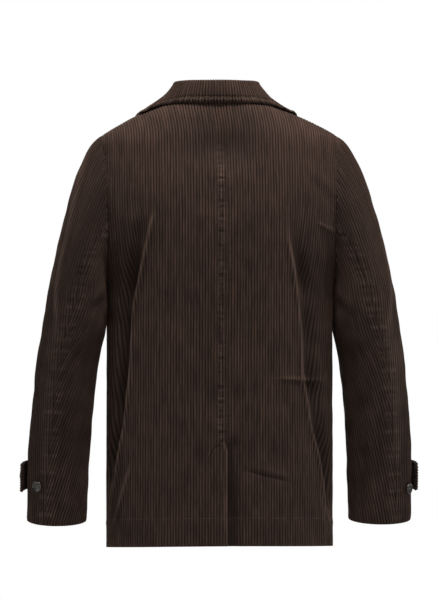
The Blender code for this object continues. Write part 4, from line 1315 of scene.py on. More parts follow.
class SleeveSpan:
    """Level slices of one sleeve: distance round each from its outer line, and the turns it spans."""

    def __init__(self, side):
        self.side = side
        cap = ARMHOLE_LEVEL + ARMHOLE_HEIGHT * np.cos(np.linspace(0.0, np.pi, 110))
        arm = np.linspace(BICEP, CUFF, 90)
        self.levels = np.sort(np.unique(np.concatenate([cap, arm, np.linspace(BICEP, UNDERARM, 12)])))
        self.shares = np.linspace(-1.0, 1.0, 2 * TURN_SHARES + 1)
        rise = np.clip((self.levels - ARMHOLE_LEVEL) / ARMHOLE_HEIGHT, -1, 1)
        self.widest = np.where(self.levels > UNDERARM, np.arccos(rise), np.pi)
        runs = []
        alongs = []
        for level, widest in zip(self.levels, self.widest):
            turn = self.shares * widest
            if level > BICEP:
                along = cap_along(turn, np.full_like(turn, level), side)
            else:
                along = np.full_like(turn, (BICEP - level) / SLEEVE_LONG)
            run = run_of(sleeve(turn, along, side))
            runs.append(run - run[TURN_SHARES])
            alongs.append(along)
        self.run = np.array(runs)
        self.along = np.array(alongs)
        self.half_round = float(np.interp(UNDERARM, self.levels, self.run[:, -1]))

    def row(self, level):
        """The fractional row of a level in the grids."""
        return np.interp(level, self.levels, np.arange(len(self.levels)))

    def spread(self, level):
        """Widest turn of the slice at a level: all round below the arm, the armhole seam above."""
        rise = np.clip((level - ARMHOLE_LEVEL) / ARMHOLE_HEIGHT, -1, 1)
        return np.where(level > UNDERARM, np.arccos(rise), np.pi)

    def reach(self, level, turn):
        """Distance round to a turn, from minus to plus half the slice."""
        share = turn / np.maximum(self.spread(level), 1e-6)
        return read_grid(self.run, self.row(level), (share + 1) * TURN_SHARES)

    def place(self, level, reach):
        """Turn and place along of a point, by its level and distance round."""
        row = np.clip(self.row(level), 0, len(self.levels) - 1.001)
        i = row.astype(int)
        u = row - i
        share = np.empty(len(reach))
        for k in np.unique(i):
            chosen = i == k
            low = np.interp(reach[chosen], self.run[k], self.shares)
            high = np.interp(reach[chosen], self.run[k + 1], self.shares)
            share[chosen] = low * (1 - u[chosen]) + high * u[chosen]
        along = read_grid(self.along, row, (share + 1) * TURN_SHARES)
        turn = share * self.spread(level)
        return turn, np.where(level < BICEP, (BICEP - level) / SLEEVE_LONG, np.minimum(along, 0))


SPANS = {side: SleeveSpan(side) for side in (-1, 1)}


class SleevePanel:
    """The top or under part of a sleeve, with its limits in cloth measures."""

    def __init__(self, side, part):
        self.side = side
        self.part = part
        self.span = SPANS[side]
        arm = np.linspace(CUFF, UNDERARM, 700)
        cap = ARMHOLE_LEVEL - ARMHOLE_HEIGHT * np.cos(np.linspace(0.0, np.pi, 700))
        self.level = np.unique(np.concatenate([arm, cap]))
        up = np.linspace(0.0, -1.0, 200)
        seam = elbow_turn(up)
        seam_level = sleeve_cap(seam, -up, side)[..., 2]
        below = elbow_turn((BICEP - self.level) / SLEEVE_LONG)
        elbow = np.where(self.level > BICEP, np.interp(self.level, seam_level, seam), below)
        widest = self.span.spread(self.level)
        front = np.full_like(self.level, np.radians(-FRONT_SEAM))
        back_end = self.span.reach(self.level, np.minimum(elbow, widest))
        front_end = self.span.reach(self.level, -np.minimum(front, widest))
        half = self.span.half_round
        clear = SEAM / 2
        if part == "top":
            self.low = front_end + clear
            self.high = back_end - clear
            self.scoop = None
        else:
            round_end = self.half(self.level)
            self.low = back_end - round_end + clear + self.slant(self.level)
            self.high = front_end + round_end - clear + self.slant(self.level)
            back_hole = self.span.reach(self.level, widest) - half + self.slant(self.level)
            front_hole = self.span.reach(self.level, -widest) + half + self.slant(self.level)
            self.scoop = (back_hole, front_hole)
            self.back_part = elbow < widest - 1e-4
            self.front_part = front < widest - 1e-4

    def half(self, level):
        """Half the way round the sleeve at a level, and under the arm its value there."""
        return np.interp(np.minimum(level, UNDERARM), self.span.levels, self.span.run[:, -1])

    def slant(self, level):
        """How far the under sleeve's wales lie across at a level: they slant down towards the elbow."""
        return np.where(level < BICEP, UNDER_SLANT[self.side], UNDER_SLANT_ABOVE) * (BICEP - level)

    def to_reach(self, level, across):
        """Distance round from the outer line, of a place across the wales."""
        if self.part == "top":
            return across
        own = across - self.slant(level)
        half = self.half(level)
        return np.where(own < 0, half + own, own - half)

    def inside(self, across):
        """How far inside the part each level of a column lies; negative outside it."""
        depth = np.minimum(across - self.low, self.high - across)
        if self.scoop:
            back = np.where(self.back_part, self.scoop[0] - across, -1.0)
            front = np.where(self.front_part, across - self.scoop[1], -1.0)
            clear = np.maximum(back, front)
            depth = np.where(self.level > UNDERARM, np.minimum(depth, clear), depth)
        return depth

    def ends(self, across):
        """Where a column of the cloth starts and stops up the sleeve."""
        depth = self.inside(across)
        within = depth >= -1e-9
        if not within.any():
            at = self.level[int(np.argmax(depth))]
            return at, at
        middle = int(np.argmax(depth))
        first = middle - int(np.argmax(~np.append(within[middle::-1], False))) + 1
        last = middle + int(np.argmax(~np.append(within[middle:], False))) - 1
        start, end = self.level[first], self.level[last]
        if first > 0:
            share = depth[first] / (depth[first] - depth[first - 1])
            start = start - share * (self.level[first] - self.level[first - 1])
        if last < len(self.level) - 1:
            share = depth[last] / (depth[last] - depth[last + 1])
            end = end + share * (self.level[last + 1] - self.level[last])
        return start, end

    def rows(self, across, start, end):
        """Rows of a column: closer where seams pucker it, and crowding towards the crown."""
        if end - start < 1e-5:
            return np.array([start])
        depth = self.inside(across)

        def fine(places):
            return (np.interp(places, self.level, depth) < PUCKERED) & (places > CUFF + 0.02)

        if self.part == "under" or end < ARMHOLE_LEVEL:
            return panel_rows(start, end, (), fine)
        foot = max(start, end - CROWN_DROP)
        top = end - (end - foot) * np.linspace(1, 0, CROWN_ROWS + 1) ** CROWN_CROWDS
        if foot - start < 1e-5:
            return top
        return np.concatenate([panel_rows(start, foot, (), fine), top[1:]])

    def cut(self):
        """The part as a cut piece."""
        piece = Cut()
        low, high = self.low.min(), self.high.max()
        if self.scoop:
            low = self.low[self.back_part].min()
            high = self.high[self.front_part].max()
        extra = [x for x in (self.low[0], self.high[0]) if low + 1e-6 < x < high - 1e-6]
        columns = []
        for across in wale_places(low, high, extra):
            columns.append(piece.column(across, self.rows(across, *self.ends(across))))
        piece.sew(columns)
        return piece


def sleeve_relief(turn, level, side):
    """Soft breaks and slow unevenness of a sleeve; distances run round it and down it."""
    around = np.where(turn < np.radians(FRONT_SEAM), turn + 2 * np.pi, turn) * ARM_RADIUS
    out = creases(around, level, SLEEVE_CREASES[side]) + 1.5 * slack(around, level, 1.9 + side)
    return out, around


def sleeve_surface(panel, across, level):
    """A part of a sleeve: its breaks, puckered elbow seam and armhole, and pressed cuff."""
    side, part = panel.side, panel.part
    turn, along = panel.span.place(level, panel.to_reach(level, across))
    worn, around = sleeve_relief(turn, level, side)
    low = np.interp(level, panel.level, panel.low)
    high = np.interp(level, panel.level, panel.high)
    to_elbow, to_front = (high - across, across - low) if part == "top" else (across - low, high - across)
    beside = np.clip(to_elbow + NO_SEAM * (level > ELBOW_SEAM_ENDS), 0, 1)
    elbow = stitched_seam(beside, level, 0.6 + side, ELBOW_DEPTH)
    wavy = ripple(level, ELBOW_LADDER, 2.2 + side)
    ladder = (ELBOW_LADDER_RISE * wavy + ELBOW_FULL) * bump(beside - ELBOW_LADDER_AT, ELBOW_LADDER_WIDE)
    elbow = elbow + ladder
    beside_front = np.clip(to_front + NO_SEAM * (level > FRONT_SEAM_ENDS), 0, 1)
    front = stitched_seam(beside_front, level, 2.6 + side, FRONT_SEAM_DEPTH)
    to_hole = np.maximum(along + 1, 0) * np.interp(np.abs(turn), CAP_TURNS, CAP_LONG)
    near_top = ease(level, *ARM_SEAM_EASES)
    armhole = stitched_seam(to_hole, around, 0.9, ARMHOLE_SEAM_DEPTH) * (1 - 0.8 * near_top)
    ease_in = puckers(to_hole, around, 1.1, EASED_IN) * (1 - 0.7 * near_top)
    cuff = level - CUFF
    hem = -CUFF_PRESS[0] * bump(cuff, CUFF_PRESS[1])
    fade = ease(to_hole, 0.0, FADE_AT_ARMHOLE) * ease(cuff, 0.0, FADE_AT_CUFF)
    out = worn * fade + elbow + front + armhole + ease_in + hem + wale_step(across)
    puckered = np.clip((elbow + armhole + ease_in) / SLEEVE_SHOWS, 0, 1)
    lay = np.stack([across, level, wale_rise(across)], axis=-1)
    # Painted highlights along the sleeve's ridges and painted shade along its inner side, with the painted
    # light on the elbow ladder's puckers.
    nap = creases(around, level, SLEEVE_LIGHT_AND_SHADE[side])
    rungs = np.clip(1.5 * wavy, 0, 1) * bump(beside - ELBOW_LIGHT_AT, ELBOW_LIGHT_WIDE)
    nap = nap + ELBOW_LIGHT * rungs * (level < BICEP)
    # Painted shade over the sleeve below the upper arm and in its folds; painted highlight where its folds
    # stand out.
    sleeve_shade = SLEEVE_SHADE[side] * ease(level, CUFF - 0.100, -0.300)
    deep = np.clip(np.clip(-worn / SLEEVE_FOLD_SHADED, 0, 1) + sleeve_shade + np.clip(-nap, 0, 1), 0, 1.2)
    highlight = np.clip(0.5 * np.clip(worn / SLEEVE_FOLD_HIGHLIGHTED, 0, 1) ** 2 + np.clip(nap, 0, 1), 0, 1)
    light_and_wear = np.stack([highlight, puckered, deep], axis=-1)
    return on_sleeve(turn, along, side, out), on_sleeve(turn, along, side, worn * fade - CLOTH), lay, light_and_wear


def sleeve_panel(side, part, cloth):
    """The top or under part of one sleeve, and its limits."""
    panel = SleevePanel(side, part)
    cut = panel.cut()
    name = f"sleeve_{part}_{SIDES[side]}_cloth"
    made = make_shell(name, cut, *sleeve_surface(panel, *cut.arrays()), cloth)
    return made, panel


# ---- fronts and lapels ------------------------------------------------------------------------------------

LAPEL_LONG = 0.235
LAPEL_ROLL = 0.0026
LAPEL_GAP = 0.0003
LAPEL_ROWS = 0.0052
# How far across the under front is clear of the over one.
UNDER_SHOWS = 0.120
FRONT_DEPTHS = (0.6, 0.2)
# A front's edge is stitched up to the break of its lapel.
EDGE_STITCH_ENDS = (BREAK_LEVEL + 0.006, BREAK_LEVEL - 0.010)
LAPEL_SOFT = (0.0007, (0.071, 0.113))


def front_surface(panel, across, rows):
    """A front: buttoned over or under, its turned edge and roll line, two drape folds and puckered seams."""
    side = panel.side
    over = side < 0
    turn, sign, level, own = panel.lie(across, rows)
    points, normal = trunk(turn, sign, level, 1)
    placed = own * side
    to_side = quarter_girth(level, 1) - np.abs(own)
    # The drape folds come with their painted highlight and painted shade.
    worn, painted_light = drape(placed, level, 1)
    if over:
        worn = worn + creases(placed, level, FRONT_CREASES) + slack(placed, level, 2.6)
    else:
        worn = worn + creases(placed, level, FRONT_CREASES) * ease(own, FRONT_LAP, UNDER_SHOWS)
    worn = worn * ease(to_side, 0, SEAM_FADE)
    stand = front_out(own, over)
    outer, side_seam = outer_seams(points, level, to_side, 1, 1.1 - side, FRONT_DEPTHS)
    edge = edge_stitch(own - roll_line(level), level, 0.8 + side) * ease(level, *EDGE_STITCH_ENDS)
    seams = edge + outer + side_seam + hem_relief(rows, placed)
    puckered = np.clip(np.abs(edge + outer) / SEAM_SHOWS, 0, 1)
    return laid_cloth(points + normal * stand[:, None], normal, worn, seams, across, rows, puckered, painted_light)


def front_panel(side, cloth):
    """One of the two fronts, and its limits."""
    panel = TrunkPanel(side, 1)
    cut = panel.cut((WAIST,))
    made = make_shell(f"front_{SIDES[side]}_cloth", cut, *front_surface(panel, *cut.arrays()), cloth)
    return made, panel


def lapel_ends(share):
    """The roll line and the outer edge of a lapel up its length, and its width there."""
    foot = BREAK_LEVEL + LAPEL_FOOT
    roll_level = foot + (GORGE_LEVEL - foot) * share
    roll = np.stack([roll_line(roll_level) + LAPEL_SET_IN, roll_level], axis=-1)
    edge = np.stack([smooth(share, LAPEL_EDGE["along"], LAPEL_EDGE["across"]),
                     smooth(share, LAPEL_EDGE["along"], LAPEL_EDGE["level"])], axis=-1)
    return roll, edge, np.linalg.norm(roll - edge, axis=-1)


def lapel_surface(side, across, share):
    """A lapel from its outer edge to the roll line, and round the roll to the front's inner face."""
    over = side < 0
    roll, edge, width = lapel_ends(share)
    width = np.maximum(width, 1e-4)
    flat = np.clip(across / width, 0, 1)
    turned = np.clip((across - width) / (np.pi * LAPEL_ROLL), 0, 1) * np.pi
    middle = edge + (roll - edge) * flat[:, None]
    own, level = middle[:, 0], middle[:, 1]
    shown = own + roll_line(level)
    lift = LAPEL_CURL * ease(shown, 0.0, 0.040) * np.sin(np.pi * flat)
    rest = front_out(own, over) + LAPEL_GAP + LAPEL_EASE * ease(shown, -0.004, 0.012) + lift
    top = (1.0 - share) * LAPEL_LONG
    seam = edge_stitch(across, share * LAPEL_LONG, 1.7 + side)
    seam = seam + edge_stitch(top, across, 0.3) * ease(across, 0.0, 0.004) * 0.8
    rise, lengths = LAPEL_SOFT
    soft = rise * ripple(share * LAPEL_LONG, lengths, 0.5 + side) * np.sin(np.pi * flat)
    points = []
    for lay_out in (CLOTH + seam + soft + wale_step(across), np.zeros_like(across)):
        thick = rest + lay_out
        centre = rest + CLOTH - LAPEL_ROLL
        radius = thick - centre
        reach = np.where(turned > 0, radius * np.sin(turned), 0.0)
        height = np.where(turned > 0, centre + radius * np.cos(turned), thick)
        points.append(on_trunk(side * (own - reach), level, 1, height))
    lay = np.stack([across, share * LAPEL_LONG, wale_rise(across)], axis=-1)
    puckered = np.clip(np.abs(seam) / EDGE_SHOWS, 0, 1)
    # A painted highlight along the lapel's roll.
    light_and_wear = np.stack([0.5 * bump(across - width, 0.004), puckered, 0 * share], axis=-1)
    return points[0], points[1], lay, light_and_wear


def lapel(side, cloth):
    """A lapel, its wales running up its length."""
    tries = np.linspace(0.0, 1.0, 400)
    wide = np.maximum.accumulate(lapel_ends(tries)[2])
    curl = np.pi * LAPEL_ROLL
    piece = Cut()
    columns = []
    for across in wale_places(0.0, wide[-1] + curl, (wide[0] + curl,)):
        start = 0.0 if across <= wide[0] + curl else float(np.interp(across - curl, wide, tries))
        along = np.array([start])
        if 1.0 - start >= 1e-4:
            along = row_places(start * LAPEL_LONG, LAPEL_LONG, LAPEL_ROWS) / LAPEL_LONG
        columns.append(piece.column(across, along))
    piece.sew(columns)
    return make_shell(f"lapel_{SIDES[side]}_cloth", piece, *lapel_surface(side, *piece.arrays()), cloth)


# ---- collar -----------------------------------------------------------------------------------------------

COLLAR_WALL = 0.0024
COLLAR_STITCH = 0.0090
STAND_ROWS = 5
ROLL_ROWS_ROUND = 9
LEAF_ROWS = 20
LEAF_CROWDS = 0.85
LEAF_BANDS = table(
    "at rise width",
    (COLLAR_STITCH, -0.0015, 0.0015),
    (0.0, -0.0008, 0.0012),
    (0.0048, 0.0010, 0.0030),
)
LEAF_PUCKERS = (0.0075, 0.0007, 0.0044, (0.0061, 0.0094, 0.0151))
LEAF_SOFT = (0.022, 0.0009, 0.016, (0.083, 0.127))
# The wales of the collar are spaced by this much of the leaf's edge, and the rest of the neck seam.
BY_EDGE = 0.6


def neckline(stations, side):
    """Points of the neck seam from centre back round to the front, then down the roll line."""
    back_share = np.clip(stations / COLLAR_TO_SHOULDER, 0, 1)
    side_reach = quarter_girth(np.array([NECK_RISE]), -1)[0]
    back = on_trunk(side * back_share * side_reach, NECK_RISE * back_share ** 2, -1, -CLOTH / 2)
    front_share = np.clip((stations - COLLAR_TO_SHOULDER) / (COLLAR_TO_GORGE - COLLAR_TO_SHOULDER), 0, 1)
    front_reach = quarter_girth(np.array([NECK_RISE]), 1)[0]
    top_roll = roll_line(0.0)
    front_across = front_reach + (top_roll - front_reach) * front_share
    down = np.clip((stations - COLLAR_TO_GORGE) / (1 - COLLAR_TO_GORGE), 0, 1)
    front_level = NECK_RISE * (1 - front_share ** 2) + GORGE_LEVEL * down
    front_across = front_across + (roll_line(GORGE_LEVEL) - top_roll) * down
    flat = front_out(front_across, side < 0) + COLLAR_WALL / 2 + LEAF_CLEAR / 2
    out = -CLOTH / 2 + (flat + CLOTH / 2) * ease(down, 0.0, 0.3)
    front = on_trunk(side * front_across, front_level, 1, out)
    return np.where((stations > COLLAR_TO_SHOULDER)[:, None], front, back)


def leaf_edge(side):
    """Where the leaf's edge lies at the collar's stations, just clear of the trunk."""
    points = []
    for out, at, face in zip(COLLAR["edge_out"], COLLAR["edge_level"], COLLAR["edge_face"].astype(int)):
        level = np.array([at])
        across = across_at(turn_at_width(np.array([out]), level, face), level, face)
        lift = LEAF_CLEAR + (OVER_FRONT + LEAF_OVER_LAPEL if face > 0 else 0.0)
        points.append(on_trunk(side * across, level, face, np.array([lift]))[0])
    return np.array(points)


def collar_side(side, stations):
    """The middle of the collar's cloth on one side: up the stand, over the roll and down the leaf."""
    known = np.linspace(0, 1, len(COLLAR["stand"]))
    shape = {key: smooth(stations, known, column)[:, None] for key, column in COLLAR.items()}
    knots = leaf_edge(side)
    edge = np.stack([smooth(stations, known, knots[:, k]) for k in range(3)], axis=-1)
    foot = neckline(stations, side)
    outward = unit((foot - np.array([NECK_SHIFT, 0.0, 0.0])) * np.array([1, 1, 0]))
    up = np.array([0.0, 0.0, 1.0])
    foot = foot + up * STAND_CLEAR
    top = foot + up * shape["stand"] - outward * shape["lean"]
    rows = [foot + (top - foot) * share for share in np.linspace(0, 1, STAND_ROWS)]
    for swing in np.radians(np.linspace(0, 180, ROLL_ROWS_ROUND + 1)[1:-1]):
        rows.append(top + outward * COLLAR_ROLL * (1 - np.cos(swing)) + up * COLLAR_ROLL * np.sin(swing))
    start = top + outward * 2 * COLLAR_ROLL
    belly = (start + edge) / 2 + (outward + up) * shape["belly"]
    for share in np.linspace(0, 1, LEAF_ROWS) ** LEAF_CROWDS:
        rows.append((1 - share) ** 2 * start + 2 * share * (1 - share) * belly + share ** 2 * edge)
    return np.array(rows)


def collar(cloth):
    """The collar in one piece, its wales running up the stand and down the leaf."""
    tries = np.linspace(0, 1, 400)
    known = np.linspace(0, 1, len(COLLAR["stand"]))
    knots = leaf_edge(1)
    edge = np.stack([smooth(tries, known, knots[:, k]) for k in range(3)], axis=-1)
    foot = neckline(tries, 1)
    run = BY_EDGE * run_of(edge) + (1 - BY_EDGE) * run_of(foot)
    places = wale_places(0.0, run[-1])
    stations = np.interp(places, run, tries)
    right = collar_side(1, stations)
    left = collar_side(-1, stations)
    middle = np.concatenate([left[:, :0:-1], right], axis=1)
    across = np.concatenate([-places[:0:-1], places])
    rows, columns = middle.shape[:2]
    down = np.linalg.norm(np.diff(middle, axis=0), axis=-1).cumsum(axis=0)
    down = np.concatenate([np.zeros((1, columns)), down])
    normal = unit(np.cross(np.gradient(middle, axis=0), np.gradient(middle, axis=1)))
    piece = Cut()
    strips = [piece.column(across[k], np.arange(rows, dtype=float)) for k in range(columns)]
    piece.sew(strips)
    order = np.transpose(middle, (1, 0, 2)).reshape(-1, 3)
    facing = np.transpose(normal, (1, 0, 2)).reshape(-1, 3)
    length = down.T.ravel()
    whole = np.repeat(down[-1], rows)
    wide = np.repeat(across, rows)
    to_edge = whole - length
    to_end = run[-1] - np.abs(wide)
    seam = relief(to_edge, LEAF_BANDS) + puckers(to_edge, wide, 0.9, LEAF_PUCKERS)
    seam = seam + edge_stitch(to_end, length, 2.0) * 0.8
    soft = puckers(to_edge, wide, 0.4, LEAF_SOFT)
    out = COLLAR_WALL / 2 + seam + soft + wale_step(wide)
    face_points = order + facing * out[:, None]
    back_points = order - facing * (COLLAR_WALL / 2)
    lay = np.stack([wide, length, wale_rise(wide)], axis=-1)
    light_and_wear = np.stack([0 * wide, np.clip(np.abs(seam) / EDGE_SHOWS, 0, 1), 0 * wide], axis=-1)
    made = make_shell("collar_cloth", piece, face_points, back_points, lay, light_and_wear, cloth)
    return made, leaf_run(face_points, back_points, to_edge, columns, rows)


def leaf_run(face_points, back_points, to_edge, columns, rows):
    """The line of the collar's topstitching, as points of its middle and directions out of the cloth."""
    face, back = (points.reshape(columns, rows, 3) for points in (face_points, back_points))
    to_edge = to_edge.reshape(columns, rows)
    place = [np.interp(-COLLAR_STITCH, -to_edge[k], np.arange(rows)) for k in range(columns)]
    pick = [[np.array([np.interp(p, np.arange(rows), sheet[k, :, c]) for c in range(3)])
             for k, p in enumerate(place)] for sheet in (face, back)]
    outward = unit(np.array(pick[0]) - np.array(pick[1]))
    return np.array(pick[1])[2:-2] + outward[2:-2] * (COLLAR_WALL - 0.0002), outward[2:-2]


# ---- cuff straps ------------------------------------------------------------------------------------------

STRAP_WALL = 0.0042
STRAP_WALE_HEIGHT = 0.0014
STRAP_HALF = (STRAP_TOP - STRAP_BOTTOM) / 2
STRAP_MIDDLE = (STRAP_TOP + STRAP_BOTTOM) / 2
# The turn, in degrees, that the cut-off corners take from the strap's end, and the turn between its rows.
CORNER_TURN = 10.0
STRAP_ROWS = 2.5
# Over this far from its free end the strap's wales stand up as ribs and draw back between them.
END_RIBS = (0.009, 0.001)
RIBS_DRAW_BACK = 0.030
STRAP_SOFT = (0.0006, (0.037, 0.061))


def strap_clearance(turn):
    """The space between a sleeve and its strap, which grows towards the strap's free end."""
    return STRAP_CLEAR + STRAP_LIFT * ease(turn, STRAP_LIFT_FROM, STRAP_LIFT_TO)


def strap_end(across):
    """The turn at which the strap ends, with its two corners cut off."""
    corner = np.clip(STRAP_CORNER - (STRAP_HALF - np.abs(across)), 0, None) / STRAP_CORNER
    return STRAP_TIP - CORNER_TURN * corner


def strap_surface(side, across, turn):
    """The two faces of a strap, ribbed on both sides and at its free end."""
    to_end = np.radians(strap_end(across) - turn) * ARM_RADIUS
    to_side = STRAP_HALF - np.abs(across)
    nearest = np.minimum(to_end, to_side)
    seam = edge_stitch(nearest, across + np.radians(turn) * ARM_RADIUS, 0.7) * 0.9
    at_end = ease(to_end, *END_RIBS)
    seam = seam * (1 - 0.8 * at_end)
    rib = STRAP_WALE_HEIGHT * (1 + 0.7 * at_end) * (wale_rise(across) - WALE_MEAN)
    soft = STRAP_SOFT[0] * ripple(np.radians(turn) * ARM_RADIUS, STRAP_SOFT[1], 0.9 + side)
    flip = np.array([side, 1.0, 1.0])
    level = STRAP_MIDDLE + across
    angle = np.radians(turn) - RIBS_DRAW_BACK * at_end * (1 - wale_rise(across))
    stand = strap_clearance(turn) + STRAP_WALL / 2 + soft * ease(turn, STRAP_LIFT_FROM, STRAP_LIFT_TO)
    half_wall = STRAP_WALL / 2 * (1 - 0.2 * bump(nearest, 0.0015))
    face = strap_points(angle, level, side, stand + half_wall + seam + rib)
    back = strap_points(angle, level, side, stand - half_wall - 0.6 * (seam + rib))
    lay = np.stack([across, angle * ARM_RADIUS, wale_rise(across)], axis=-1)
    puckered = np.clip(np.abs(seam) / EDGE_SHOWS, 0, 1)
    # A painted highlight along the strap's edges and end.
    light_and_wear = np.stack([0.3 * bump(nearest, 0.003), puckered, 0 * across], axis=-1)
    return face * flip, back * flip, lay, light_and_wear


def strap_points(angle, level, side, out):
    """Points of a sleeve's ring grown outwards, each by its own distance."""
    return np.array([sleeve_ring(a, z, side, o) for a, z, o in zip(angle, level, out)])


def cuff_strap(side, cloth):
    """A strap of doubled cloth with its wales lengthwise."""
    piece = Cut()
    columns = []
    for across in wale_places(-STRAP_HALF, STRAP_HALF):
        columns.append(piece.column(across, row_places(STRAP_ROOT, float(strap_end(across)), STRAP_ROWS)))
    piece.sew(columns, back_step=1, back_rows=1)
    name = f"cuff_strap_{SIDES[side]}_cloth"
    return make_shell(name, piece, *strap_surface(side, *piece.arrays()), cloth)


# ---- buttons ----------------------------------------------------------------------------------------------

SMALL_BUTTON = 0.0185
LARGE_BUTTON = 0.0280
BUTTON_GAP = 0.0003
BUTTON_TURNS = (0.10, 0.55, -0.35, 0.80, -0.15, 0.40)
STRAP_BUTTON_SPIN = 0.3
CUFF_BUTTON_SPIN = 0.5
# How far a button's seat stands off the cloth's plain form on a sleeve, and on a front.
SLEEVE_STAND = 0.0006
FRONT_STAND = 0.0007

FRONT_BUTTON_ACROSS = (-0.060, 0.060)
FRONT_BUTTON_LEVELS = (-0.262, -0.382, -0.502)
CUFF_BUTTON = {"left": (46.0, -0.630), "right": (29.0, -0.6385)}
STRAP_BUTTON_TURN = -24.0

# The button's section, as shares of its radius and its width: back, side, rounded rim and sunk dish.
BUTTON_SECTION = table(
    "radius height",
    (0.86, 0.012), (0.95, 0.040), (0.99, 0.070), (1.00, 0.100), (0.985, 0.140), (0.955, 0.172),
    (0.910, 0.190), (0.860, 0.186), (0.815, 0.165), (0.780, 0.140), (0.740, 0.127), (0.640, 0.121),
    (0.400, 0.117), (0.060, 0.116),
)
# The thread holes, the worn rim and the strands of thread, as shares of the button's width.
HOLE_OUT = 0.130
HOLE_WIDE = 0.052
BORE_LONG = 0.6
RIM_WORN = 0.010
STRAND_WIDE = 0.018
STRAND_LONG = 2 * HOLE_OUT * np.sqrt(2) + 0.02
STRAND_LEVELS = (0.128, 0.148)
# Each strand of thread dips into its holes: beyond this far out it goes down by this much more.
STRAND_DIPS = ((0.060, 0.009), (0.150, 0.062))


def drill_holes(body):
    """Cuts the four thread holes through a button."""
    for x, y in ((1, 1), (-1, 1), (-1, -1), (1, -1)):
        bpy.ops.object.select_all(action="DESELECT")
        bpy.ops.mesh.primitive_cylinder_add(vertices=16, radius=HOLE_WIDE, depth=BORE_LONG,
                                            location=(HOLE_OUT * x, HOLE_OUT * y, 0.1))
        drill = bpy.context.object
        bore = body.modifiers.new("thread_hole", "BOOLEAN")
        bore.operation = "DIFFERENCE"
        bore.solver = "EXACT"
        bore.object = drill
        bpy.ops.object.select_all(action="DESELECT")
        body.select_set(True)
        bpy.context.view_layer.objects.active = body
        bpy.ops.object.modifier_apply(modifier=bore.name)
        bpy.data.objects.remove(drill, do_unlink=True)


def lay_strand(x, y, beside, level, thread):
    """One strand of thread from hole to hole, bent down into both."""
    bpy.ops.object.select_all(action="DESELECT")
    bpy.ops.mesh.primitive_cylinder_add(vertices=8, radius=STRAND_WIDE, depth=STRAND_LONG,
                                        end_fill_type="NGON", location=(beside * y, -beside * x, level),
                                        rotation=(np.pi / 2, 0, np.arctan2(y, x) + np.pi / 2))
    strand = bpy.context.object
    bpy.ops.object.mode_set(mode="EDIT")
    bpy.ops.mesh.select_all(action="SELECT")
    bpy.ops.mesh.subdivide(number_cuts=3)
    bpy.ops.object.mode_set(mode="OBJECT")
    bpy.ops.object.transform_apply(location=True, rotation=True, scale=True)
    for beyond, down in STRAND_DIPS:
        bpy.ops.object.mode_set(mode="EDIT")
        bpy.ops.mesh.select_all(action="DESELECT")
        bpy.ops.object.mode_set(mode="OBJECT")
        for point in strand.data.vertices:
            point.select = np.hypot(point.co.x, point.co.y) > beyond
        bpy.ops.object.mode_set(mode="EDIT")
        bpy.ops.transform.translate(value=(0, 0, -down))
        bpy.ops.object.mode_set(mode="OBJECT")
    strand.data.materials.append(thread)
    bpy.ops.object.shade_smooth()
    return strand


def model_button(horn, thread):
    """One button a metre wide, modelled flat: turned section, four holes, and crossed sewing thread."""
    bpy.ops.object.select_all(action="DESELECT")
    bpy.ops.mesh.primitive_circle_add(vertices=48, radius=0.40, fill_type="NGON", location=(0, 0, 0))
    body = bpy.context.object
    bpy.ops.object.mode_set(mode="EDIT")
    bpy.ops.mesh.select_all(action="SELECT")
    bpy.ops.mesh.flip_normals()
    last_radius, last_height = 0.80, 0.0
    for radius, height in zip(BUTTON_SECTION["radius"], BUTTON_SECTION["height"]):
        bpy.ops.mesh.extrude_region_move(TRANSFORM_OT_translate={"value": (0, 0, height - last_height)})
        grow = radius / last_radius
        bpy.ops.transform.resize(value=(grow, grow, 1))
        last_radius, last_height = radius, height
    bpy.ops.mesh.select_all(action="SELECT")
    bpy.ops.mesh.normals_make_consistent(inside=False)
    bpy.ops.object.mode_set(mode="OBJECT")
    body.data.materials.append(horn)
    drill_holes(body)
    rounded = body.modifiers.new("worn_edges", "BEVEL")
    rounded.width = RIM_WORN
    rounded.segments = 2
    rounded.angle_limit = np.radians(50)
    bpy.ops.object.modifier_apply(modifier=rounded.name)
    bpy.ops.object.shade_smooth_by_angle(angle=np.radians(40))
    strands = [lay_strand(x, y, beside, level, thread)
               for (x, y), level in zip(((1, 1), (-1, 1)), STRAND_LEVELS)
               for beside in (-STRAND_WIDE, STRAND_WIDE)]
    bpy.ops.object.select_all(action="DESELECT")
    for part in strands:
        part.select_set(True)
    body.select_set(True)
    bpy.context.view_layer.objects.active = body
    bpy.ops.object.join()
    bpy.ops.object.transform_apply(location=True, rotation=True, scale=True)
    body.name = "button_pattern"
    return body


def set_button(pattern, name, width, seat, facing, turned):
    """A copy of the button, of its own width, sewn on at its seat."""
    made = pattern.copy()
    made.data = pattern.data.copy()
    made.name = name
    made.data.name = name
    bpy.context.scene.collection.objects.link(made)
    stand = Vector(facing).to_track_quat("Z", "Y")
    spin = Vector((np.cos(turned), np.sin(turned), 0)).to_track_quat("X", "Z")
    made.data.transform(spin.to_matrix().to_4x4())
    made.data.transform((stand.to_matrix() * width).to_4x4())
    made.data.transform(Matrix.Translation(Vector(seat)))
    return made


def sleeve_seat(side, turn, level, stand_off):
    """Seat and facing of a button on a sleeve or on its strap."""
    angle = np.radians(np.array([turn, turn, turn + 1.0]))
    levels = np.array([level, level + 0.002, level])
    ring = sleeve_ring(angle, levels, side, stand_off)
    facing = unit(np.cross(ring[1] - ring[0], ring[2] - ring[0]))
    facing = facing if facing[0] > 0 else -facing
    flip = np.array([side, 1.0, 1.0])
    return (ring[0] + facing * BUTTON_GAP) * flip, facing * flip


